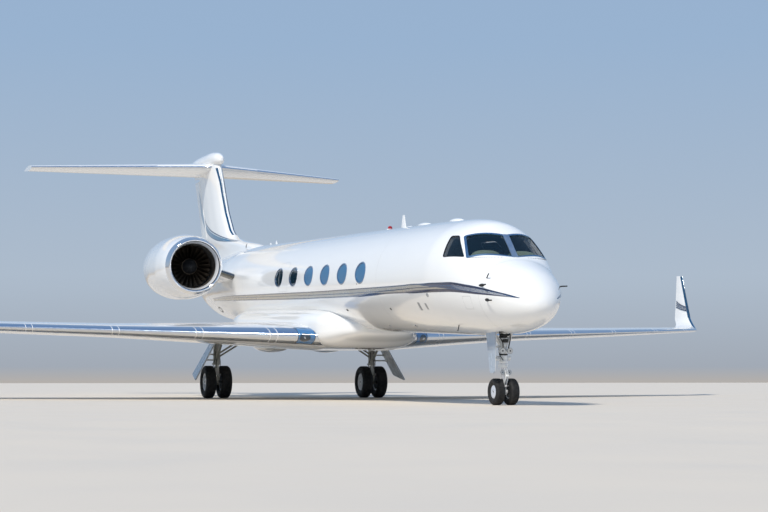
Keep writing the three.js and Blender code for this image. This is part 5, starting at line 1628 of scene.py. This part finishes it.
def fin_ribbon(name, finish, body, front, rear, low, high, lift, step=60):
    """A strip of paint on both sides of the fin or the rudder between two curves of height.

    The front and rear end are places that may change with the height.
    """
    def middle(at):
        return (low(at) + high(at)) / 2

    def spot(share, curve):
        at = 25000
        for _ in range(30):
            height = float(curve(at))
            at = front(height) + share * (rear(height) - front(height))
        return at, height

    count = max(4, math.ceil((rear(2300) - front(2300)) / step))
    for side_name, side in SIDES.items():
        rings = []
        for share in np.linspace(0, 1, count):
            rings.append(fin_loop([spot(share, curve) for curve in (low, middle, high)], lift))
        piece = merged(f"{name}_{side_name}", [np.array(rings) * (side, 1, 1)])
        dress(shade(piece), body, "body_paint", finish)


SWOOSH_UPPER = [
    (21000, 1430), (21940, 1520), (23180, 1700), (24200, 1900), (25150, 2230), (25850, 2790), (26420, 3320),
]
SWOOSH_LOWER = [
    (21000, 1415), (21230, 1420), (22920, 1500), (24190, 1680), (25140, 1980), (25970, 2470), (26420, 3300),
]
SWOOSH = {"front": 21000, "rear": 26400, "ahead": 125, "behind": 25}


def fin_swoosh():
    upper, lower = [smooth_through(*np.transpose(line)) for line in (SWOOSH_UPPER, SWOOSH_LOWER)]

    def between(share):
        return lambda at: lower(at) + share * (upper(at) - lower(at))

    def hinge_at(height):
        return fin_hinge(height)[0][1]

    # The fin's and the rudder's part end beside the hinge line
    first, ahead, behind, last = [SWOOSH[key] for key in ("front", "ahead", "behind", "rear")]
    parts = (
        ("fin", "airframe", lambda height: first, lambda height: hinge_at(height) - ahead),
        ("rudder", "rudder", lambda height: hinge_at(height) + behind, lambda height: last),
    )
    # Each layer's finish, lower and upper edge as shares of the swoosh, and lift
    layers = (
        ("swoosh", MID_BLUE, 0, 1, 1.2), ("swoosh_low_line", NAVY, -0.1, 0.06, 1.8),
        ("swoosh_high_line", NAVY, 0.86, 1.04, 1.8), ("swoosh_white_line", WHITE, 0.7, 0.78, 1.8),
    )
    for part, body, front, rear in parts:
        for layer, finish, low, high, lift in layers:
            fin_ribbon(f"{part}_{layer}", finish, body, front, rear, between(low), between(high), lift)


fin_swoosh()


# How far behind the leading edge the winglet's strip begins and ends
WINGLET_STRIP = (16, 118)


def winglet_spot(x, lead, trail, lead_z, trail_z, lean, thick, share, face, lift):
    across = np.array((-math.sin(math.radians(lean)), 0, math.cos(math.radians(lean))))
    start, end = np.array((x, lead, lead_z)), np.array((x, trail, trail_z))
    depth = float(foil_half(share)) * thick * np.linalg.norm(end - start) + lift
    return start + share * (end - start) + face * depth * across


def winglet_loop(spots, face, lift):
    """A loop through sections and shares of their chord over one face, and back under it."""
    over = [winglet_spot(*section, share, face, lift) for section, share in spots]
    return over + [winglet_spot(*section, share, face, -2) for section, share in spots[::-1]]


def winglet_lines():
    """Four curved lines across both faces of each winglet, and a strip behind its leading edge."""
    low, high = np.array(WINGLET[3], float), np.array(WINGLET[4], float)

    def row(height):
        part = (height - low[3]) / (high[3] - low[3])
        return low + part * (high - low)

    # Height at the rear and at the front, and half the width
    lines = [(-166, -372, 14), (-232, -412, 10), (-294, -452, 10), (-352, -492, 12)]
    for side_name, side in SIDES.items():
        for index, (rear_height, front_height, half) in enumerate(lines):
            parts = []
            for face in (1, -1):
                rings = []
                for share in np.linspace(0.05, 0.96, 26):
                    height = front_height + (rear_height - front_height) * share**1.6
                    spots = [(row(height + rise), share) for rise in (-half, half)]
                    rings.append(winglet_loop(spots, face, 1.5))
                parts.append(rings)
            fitting(f"winglet_line_{index + 1}_{side_name}", parts, NAVY, "wing_metal", side=side)
        parts = []
        for face in (1, -1):
            rings = []
            for height in np.linspace(-700, 622, 30):
                section = row(height)
                shares = np.linspace(*WINGLET_STRIP, 4) / (section[2] - section[1])
                rings.append(winglet_loop([(section, share) for share in shares], face, 1.4))
            parts.append(rings)
        fitting(f"winglet_edge_strip_{side_name}", parts, TEAL, "wing_metal", side=side)


winglet_lines()


# The strip's lowest and highest place, and how far behind the leading edge it begins
FIN_STRIP = {"low": 1650, "high": 3885, "behind": 10}


def fin_edge_strip():
    """The dark line behind the fin's leading edge, wider near the top."""
    width = smooth_through([1650, 2600, 3300, 3900], [56, 68, 94, 195])
    for side_name, side in SIDES.items():
        rings = []
        for height in np.linspace(FIN_STRIP["low"], FIN_STRIP["high"], 40):
            front = long_lead_at(height) + FIN_STRIP["behind"]
            at = front + np.linspace(0, 1, 4) * float(width(height))
            rings.append(fin_loop([(place, height) for place in at], PAINT_LIFT))
        fitting(f"fin_edge_strip_{side_name}", [rings], TEAL, side=side)


fin_edge_strip()


# Cockpit furniture in the places of its solids
def pillow(low, high, power=3.2, rows=22, sides=36, crown=0.0):
    """A crowned closed cushion between two corners, as rings."""
    low, high = np.array(low, float), np.array(high, float)
    middle, reach = (low + high) / 2, (high - low) / 2
    rings = []
    for lift in np.linspace(-1, 1, rows) * math.pi / 2 * 0.985:
        up = np.sign(math.sin(lift)) * abs(math.sin(lift)) ** (2 / power)
        wide = abs(math.cos(lift)) ** (2 / power)
        angle = turns_of(sides)
        across = np.sign(np.cos(angle)) * np.abs(np.cos(angle)) ** (2 / power) * wide
        along = np.sign(np.sin(angle)) * np.abs(np.sin(angle)) ** (2 / power) * wide
        rise = up * (1 - crown * (across**2 + along**2) / 2)
        rings.append(np.stack([across, along, np.broadcast_to(rise, across.shape)], 1) * reach + middle)
    return rings


def pilot_seat(name, side):
    x = 430 * side
    cushion = [
        pillow((x - 205, 2462, -300), (x + 205, 2905, -212), crown=0.25),
        pillow((x - 222, 2455, -326), (x - 150, 2930, -214), 2.6),
        pillow((x + 150, 2455, -326), (x + 222, 2930, -214), 2.6),
    ]
    back = [
        pillow((x - 160, 2906, -200), (x + 160, 2990, 90), crown=0.15),
        pillow((x - 160, 2906, 70), (x + 160, 2990, 390), crown=0.15),
        pillow((x - 222, 2904, -210), (x - 140, 3012, 410), 2.6),
        pillow((x + 140, 2904, -210), (x + 222, 3012, 410), 2.6),
        pillow((x - 120, 2924, 408), (x + 120, 3006, 596), 2.8, crown=0.1),
    ]
    seat = merged(f"pilot_seat_{name}_cushions", cushion + back)
    dress(shade(seat, crease=70), "airframe", "seat_leather", LEATHER, instead=(f"pilot_seat_{name}",))
    frame_parts = [
        brick((x - 216, 2470, -329), (x + 216, 2935, -302)),
        slab(rounded([(x - 218, 3020, -320), (x + 218, 3020, -320), (x + 200, 3020, 400),
                      (x - 200, 3020, 400)], 60), (0, 1, 0), 16),
        brick((x - 90, 2580, -760), (x + 90, 2840, -328), 12),
        brick((x - 108, 2562, -788), (x + 108, 2858, -756), 6),
        *[rod((x + step, 2975, 392), (x + step, 2975, 430), 9) for step in (-60, 60)],
    ]
    for out in (-1, 1):
        frame_parts.append(pillow((x + out * 216 - 12, 2600, -120), (x + out * 216 + 12, 2900, -80), 2.6))
    fitting(f"pilot_seat_{name}_frame", frame_parts, COCKPIT, "seat_leather")
    seams = []
    for rise in (-120, -20, 160, 260, 340):
        seams.append(hose([(x - 148, 2906, rise), (x, 2903, rise), (x + 148, 2906, rise)], 3, 6))
    for at in (2560, 2680, 2800):
        seams.append(hose([(x - 180, at, -214), (x, at, -211), (x + 180, at, -214)], 3, 6))
    fitting(f"pilot_seat_{name}_piping", seams, LINING, "seat_leather")


def upright_plate(x, half, at, low, high, corner, *more):
    outline = [(x - half, at, low), (x + half, at, low), (x + half, at, high), (x - half, at, high)]
    return slab(rounded(outline, corner), (0, 1, 0), *more)


def instrument_panel():
    trunk = tube("inside_tube", 1100, 2500, WALL + 32)
    board = block("panel_board", (-718, 1562, -618), (718, 1660, 150))
    board.name = "instrument_panel_board"
    kept_in(board, trunk)
    dress(shade(board), "airframe", "panel_plastic", PLASTIC, instead=("instrument_panel",))
    cover = loft("instrument_panel_cover", pillow((-756, 1362, 120), (756, 1758, 199), 5, 16, 48, 0.5))
    kept_in(cover, copied(trunk, "inside_copy"))
    dress(shade(cover), "airframe", "panel_plastic", SAGE)
    hoods = []
    for side in SIDES.values():
        hoods.append(pillow((side * 380 - 305, 1600, 160), (side * 380 + 305, 1930, 500), 2.8, 22, 48, 0.2))
    hood = merged("instrument_panel_hoods", hoods)
    kept_in(hood, copied(trunk, "inside_twin"))
    dress(shade(hood), "airframe", "panel_plastic", SAGE)
    screens, bezels, knobs = [], [], []
    for x in (-520, -190, 190, 520):
        bezels.append(upright_plate(x, 140, 1666, -170, 60, 14, 14))
        screens.append(upright_plate(x, 122, 1674, -152, 42, 8, 8, 2))
        for step in (-100, -50, 0, 50, 100):
            knobs.append(rod((x + step, 1668, -190), (x + step, 1684, -190), 11, 9, 2, 16))
    fitting("instrument_panel_bezels", bezels, PLASTIC, "panel_plastic")
    fitting("instrument_panel_screens", screens, SCREEN, "panel_plastic")
    fitting("instrument_panel_knobs", knobs, STEEL, "panel_plastic")


def windshield_fasteners():
    for name, side in SIDES.items():
        dots = []
        for share in np.linspace(0.03, 0.97, 17):
            at, height = 1243 + share * 371 - 6, 374 - share * 12 - 26
            root = skin_spots(at, height, side, -6)
            dots.append(rod(root, skin_spots(at, height, side, 8), 11, 9, 2, 12))
        fitting(f"windshield_{name}_fasteners", dots, STEEL)


for name, side in SIDES.items():
    pilot_seat(name, side)
instrument_panel()
windshield_fasteners()


# Roof and skin fittings
def tapered_blade(at, low_length, high_length, rise, width, sweep, base):
    """A swept aerial: rings from its foot up."""
    rings = []
    for part in np.linspace(0, 1, 7):
        length = low_length + part * (high_length - low_length)
        front = at + sweep * part
        angle = turns_of(20)
        half = width / 2 * (1 - 0.45 * part)
        along = front + length / 2 - length / 2 * np.sin(angle)
        rings.append(level_ring(half * np.cos(angle), along, base + rise * part))
    return rings


def top_at(place):
    return float(body_section(place)[1])


def roof_fittings():
    bumps = [(3800, 4500, 120, 62), (5600, 6350, 110, 58), (6700, 7000, 70, 30)]
    for index, (front, rear, half, rise) in enumerate(bumps):
        rings = []
        for share in np.linspace(0, 1, 22):
            at = front + share * (rear - front)
            swell = max(math.sin(share * math.pi) ** 0.55, 0.02)
            angle = turns_of(24)
            up = top_at(at) - 8 + (rise * swell + 8) * np.maximum(np.sin(angle), -0.2)
            rings.append(flat_ring(at, half * swell * np.cos(angle), up))
        fitting(f"roof_blister_{index + 1}", [rings], WHITE)
    aerials = [
        ("roof_aerial_front", tapered_blade(7100, 330, 130, 300, 26, 120, top_at(7200) - 10), WHITE),
        ("roof_aerial_middle", tapered_blade(17300, 240, 110, 110, 22, 70, top_at(17400) - 8), WHITE),
        ("roof_aerial_rear", tapered_blade(17900, 200, 100, 80, 20, 50, top_at(18000) - 8), WHITE),
    ]
    for name, rings, finish in aerials:
        fitting(name, [rings], finish)
    place = 8150
    top = top_at(place)
    base = [(86, 0), (80, 18), (58, 26)]
    glass = [(52, 24), (52, 52), (44, 74), (26, 88), (4, 92)]
    for name, rows, finish in (("beacon_base", [(6, -6), *base, (6, 26)], WHITE),
                               ("beacon_glass", [(6, 22), *glass], BEACON)):
        angle = turns_of(32)
        rings = [level_ring(radius * np.cos(angle), place + radius * np.sin(angle), top + rise - 4)
                 for radius, rise in rows]
        fitting(name, [rings], finish)
    for name, side in SIDES.items():
        slot = []
        for share in np.linspace(0, 1, 8):
            height, middle = 1160 + 140 * share, 19840 + 110 * share
            half = 30 * math.sin(math.pi * (0.15 + 0.7 * share))
            slot.append(fin_loop([(at, height) for at in (middle - half, middle, middle + half)], 3))
        fitting(f"dorsal_slot_{name}", [slot], DARK, side=side)


def skin_patch(name, finish, front, rear, low, high, side, lift=1.8, corner=True):
    """A small plate that follows the skin, rounded at its ends."""
    rings = []
    for share in np.linspace(0.02, 0.98, 12):
        at = front + share * (rear - front)
        swell = math.sqrt(1 - (2 * share - 1) ** 2) if corner else 1
        middle, half = (low + high) / 2, (high - low) / 2 * swell
        upper = [skin_spots(at, z, side, lift) for z in (middle - half, middle, middle + half)]
        under = [skin_spots(at, z, side, -UNDER_SKIN) for z in (middle + half, middle, middle - half)]
        rings.append([*upper, *under])
    fitting(name, [rings], finish)


def probe(name, at, height, side, length, radius=11):
    """A bent measuring tube on a small plate, pointing forward."""
    root = skin_spots(at, height, side, -6)
    out = skin_spots(at, height, side, 42)
    tip = out + (0, -length, 0)
    tube_part = hose([root, root + (out - root) * 0.6, out + (0, -30, 0), tip], radius, 14)
    fitting(name, [tube_part], DARK)


def skin_fittings():
    for name, side in SIDES.items():
        probe(f"probe_high_{name}", 952, -195, side, 220, 13)
        skin_patch(f"probe_high_{name}_plate", DARK, 900, 1040, -225, -165, side)
    probe("probe_low", 820, -470, STARBOARD, 240, 13)
    skin_patch("probe_low_plate", DARK, 780, 890, -500, -440, STARBOARD)
    foot = skin_spots(930, -60, STARBOARD, -4)
    vane = hose([foot, foot + (-10, -50, 34), foot + (-14, -120, 84)], 11, 10)
    fitting("angle_vane", [vane], DARK)
    # Name, finish, front, rear, low, high, and what differs from a plain rounded plate
    square, raised = {"corner": False}, {"lift": 3.0}
    patches = [
        ("static_plate_{}", GREY, 2880, 3010, -410, -330, {}),
        ("vent_front_{}", SEAM, 3180, 3270, -650, -530, square),
        ("vent_rear_{}", SEAM, 3530, 3640, -668, -513, square),
        ("small_port_{}_1", DARK, 5310, 5390, -668, -618, {}),
        ("small_port_{}_2", DARK, 8190, 8310, -692, -646, {}),
        ("small_port_{}_3", DARK, 7000, 7030, -112, -80, {}),
        ("small_port_{}_4", DARK, 13890, 13940, -716, -676, {}),
        ("small_port_{}_5", DARK, 11476, 11526, -725, -685, {}),
        ("low_port_{}_1", GREY, 6420, 6530, -1020, -990, {}),
        ("low_port_{}_2", GREY, 4800, 4900, -1005, -975, {}),
        ("aft_port_{}_rim", DARK, 20300, 20860, -745, -585, {}),
        ("aft_port_{}", WHITE, 20370, 20790, -715, -615, raised),
    ]
    for name, side in SIDES.items():
        for pattern, finish, front, rear, low, high, more in patches:
            skin_patch(pattern.format(name), finish, front, rear, low, high, side, **more)
    root = skin_spots(2428, -951, STARBOARD, -8)
    mast = hose([root, root + (-6, 8, -60), root + (-8, 46, -120)], 9, 12)
    fitting("drain_mast", [mast], DARK)


roof_fittings()
skin_fittings()


def seam_line(name, points, width=5):
    """A thin dark joint between panels, along points on the skin."""
    points = np.array(points, float)
    along = unit(np.gradient(points, axis=0))
    rings = []
    for spot, course in zip(points, along):
        half, top, _, middle = body_section(spot[1])
        out = unit(np.array((spot[0] / half ** 2, 0, (spot[2] - middle) / (top - middle) ** 2)))
        across = np.cross(course, out) * width / 2
        rings.append([spot + across + out * 0.9, spot - across + out * 0.9, spot - across - out * 3,
                      spot + across - out * 3])
    fitting(name, [rings], SEAM)


def ring_seam(name, at, width=5):
    """A joint round the body, open at the bottom of its loop."""
    turns = np.linspace(-0.47, 1.47, 90) * math.pi
    half, top, bottom, middle = body_section(at)
    reach = np.where(np.sin(turns) > 0, top - middle, middle - bottom)
    seam_line(name, flat_ring(float(at), half * np.cos(turns), middle + reach * np.sin(turns)), width)


def loop_on_skin(name, front, rear, low, high, side, radius, width):
    outline = rounded([(0, front, low), (0, rear, low), (0, rear, high), (0, front, high)], radius, 5)
    fine = []
    for start, end in zip(outline, np.roll(outline, -1, 0)):
        steps = max(1, int(np.linalg.norm(end - start) // 90))
        fine += [start + (end - start) * share for share in np.arange(steps) / steps]
    fine = np.array(fine + fine[:1])
    seam_line(name, skin_spots(fine[:, 1], fine[:, 2], side), width)


# Front, rear, low and high edge, corner radius and the joint's width
HATCHES = [
    ("emergency_exit", 12400, 13100, -210, 520, 60, 5), ("avionics_hatch", 1300, 1560, -640, -400, 30, 4),
    ("service_hatch", 19100, 19700, -560, -160, 40, 4), ("tail_hatch", 22800, 23400, -250, 150, 40, 4),
]


def seams():
    for index, at in enumerate([CUTS[key] for key in ("nose", "front", "rear", "tail")]):
        ring_seam(f"ring_seam_{index + 1}", at, 3)
    for name, side in SIDES.items():
        for kind, front, rear, low, high, radius, width in HATCHES:
            loop_on_skin(f"{kind}_{name}", front, rear, low, high, side, radius, width)
    handle = skin_spots(np.linspace(4210, 4440, 8), np.full(8, -60.0), PORT, 6)
    grip = hose([handle[0] - (14, 0, 0), *handle[1:-1], handle[-1] - (14, 0, 0)], 9, 10)
    fitting("entry_door_handle", [grip], STEEL, body="entry_door")


seams()


# Marks on the wing's leading edge
def wing_spot(x, turn, lift):
    """A point round the leading edge.

    The turn squared is the share of the chord, and below the edge the turn is negative.
    """
    def spot(turned):
        lead, trail, lead_z, trail_z, thick = row_at(WING, x)
        share, chord = turned * turned, trail - lead
        rise = math.copysign(float(foil_half(share)) * thick * chord, turned)
        return np.array((x, lead + share * chord, lead_z + share * (trail_z - lead_z) + rise))

    course = spot(turn + 0.004) - spot(turn - 0.004)
    out = unit(np.array((0, -course[2], course[1])))
    return spot(turn) + out * lift


def wing_loop(spots, lift, depth):
    """A loop through places and turns over the wing's skin, and back under it."""
    return [wing_spot(*spot, lift) for spot in spots] + [wing_spot(*spot, -depth) for spot in spots[::-1]]


def edge_patch(name, finish, side, inner, outer, low, high, slant=0.0, lift=1.5):
    """A patch over the wing's leading edge between two places, from one turn below to one above."""
    rings = []
    turns = np.linspace(low, high, 18)
    for share in np.linspace(0, 1, max(2, int(abs(outer - inner) // 30) + 2)):
        def at(turn):
            return inner + share * (outer - inner) + slant * turn

        rings.append(wing_loop([(at(turn), turn) for turn in turns], lift, 3))
    fitting(name, [rings], finish, "wing_metal", side=side)


def wing_marks():
    joints = (2050, 3600, 5400, 7300, 9200, 11300, 12900)
    for name, side in SIDES.items():
        for index, x in enumerate(joints):
            for letter, inner in (("a", x), ("b", x + 150)):
                label = f"wing_edge_joint_{name}_{index + 1}_{letter}"
                edge_patch(label, WHITE, side, inner, inner + 12, -0.235, 0.262, 60)
        edge_patch(f"landing_lamp_glass_{name}", LAMP_GLASS, side, 1290, 1625, -0.2, 0.24, 0, 2.5)
        for letter, inner in (("a", 1280), ("b", 1625)):
            edge_patch(f"landing_lamp_rim_{name}_{letter}", DARK, side, inner, inner + 10, -0.205, 0.245, 0, 3)
        rings = []
        for share in np.linspace(0.02, 0.98, 16):
            x = 1490 + 112 * (2 * share - 1)
            swell = math.sqrt(1 - (2 * share - 1) ** 2)
            turns = -0.035 + 0.105 * swell * np.linspace(-1, 1, 12)
            rings.append(wing_loop([(x, turn) for turn in turns], 4.5, 2))
        fitting(f"landing_lamp_lens_{name}", [rings], DARK_GLASS, "wing_metal", side=side)
        bulb = wing_spot(1490, -0.03, 4)
        dot = [rod(bulb + (0, 8, 0), bulb + (0, -3, 0), 34, 30, 3, 28)]
        fitting(f"landing_lamp_bulb_{name}", dot, LAMP, "wing_metal", side=side)


wing_marks()


# Solids that only shaped others go, and the stage comes
for tool in [piece for piece in scene.objects if piece.type == "MESH" and piece not in dressed]:
    if tool.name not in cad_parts:
        bpy.data.objects.remove(tool)


# The floor's half width in metres, and the sun's strength, spread, tilt and heading in degrees
STAGE_REACH = 200
SUN = {"strength": 3.5, "spread": 8, "tilt": 40, "heading": -48, "colour": (1, 0.95, 0.86)}
# The light's colour from straight below to straight above
SKY = [
    (0.0, (0.46, 0.39, 0.31)), (0.497, (0.52, 0.45, 0.37)), (0.503, (0.36, 0.4, 0.46)),
    (0.53, (0.42, 0.5, 0.6)), (0.6, (0.32, 0.45, 0.63)), (1.0, (0.16, 0.29, 0.55)),
]


def stage_floor():
    floor = plain("floor_paint", (0.66, 0.59, 0.5), 0.75, shift=0.012, grain=0.6, relief=0.0006)
    mesh = bpy.data.meshes.new("floor")
    corners = [(x * STAGE_REACH, y * STAGE_REACH, 0) for x, y in ((-1, -1), (1, -1), (1, 1), (-1, 1))]
    mesh.from_pydata(corners, [], [(0, 1, 2, 3)])
    mesh.materials.append(floor.material)
    piece = bpy.data.objects.new("floor", mesh)
    scene.collection.objects.link(piece)


def studio_light():
    scene.view_settings.view_transform = "Standard"
    world = bpy.data.worlds.new("studio")
    scene.world = world
    world.use_nodes = True
    tree = world.node_tree
    coords = tree.nodes.new("ShaderNodeTexCoord")
    split = tree.nodes.new("ShaderNodeSeparateXYZ")
    ramp = tree.nodes.new("ShaderNodeValToRGB")
    height = tree.nodes.new("ShaderNodeMapRange")
    height.inputs["From Min"].default_value = -1
    tree.links.new(coords.outputs["Generated"], split.inputs[0])
    tree.links.new(split.outputs["Z"], height.inputs["Value"])
    tree.links.new(height.outputs["Result"], ramp.inputs["Fac"])
    ramp.color_ramp.elements[0].position = SKY[0][0]
    ramp.color_ramp.elements[1].position = SKY[-1][0]
    for place, _ in SKY[1:-1]:
        ramp.color_ramp.elements.new(place)
    for element, (_, colour) in zip(ramp.color_ramp.elements, SKY):
        element.color = (*colour, 1)
    tree.links.new(ramp.outputs["Color"], tree.nodes["Background"].inputs["Color"])
    tree.nodes["Background"].inputs["Strength"].default_value = 1.0
    sun_data = bpy.data.lights.new("sun", "SUN")
    sun_data.energy = SUN["strength"]
    sun_data.angle = math.radians(SUN["spread"])
    sun_data.color = SUN["colour"]
    sun = bpy.data.objects.new("sun", sun_data)
    sun.rotation_euler = (math.radians(SUN["tilt"]), 0, math.radians(SUN["heading"]))
    scene.collection.objects.link(sun)


stage_floor()
studio_light()
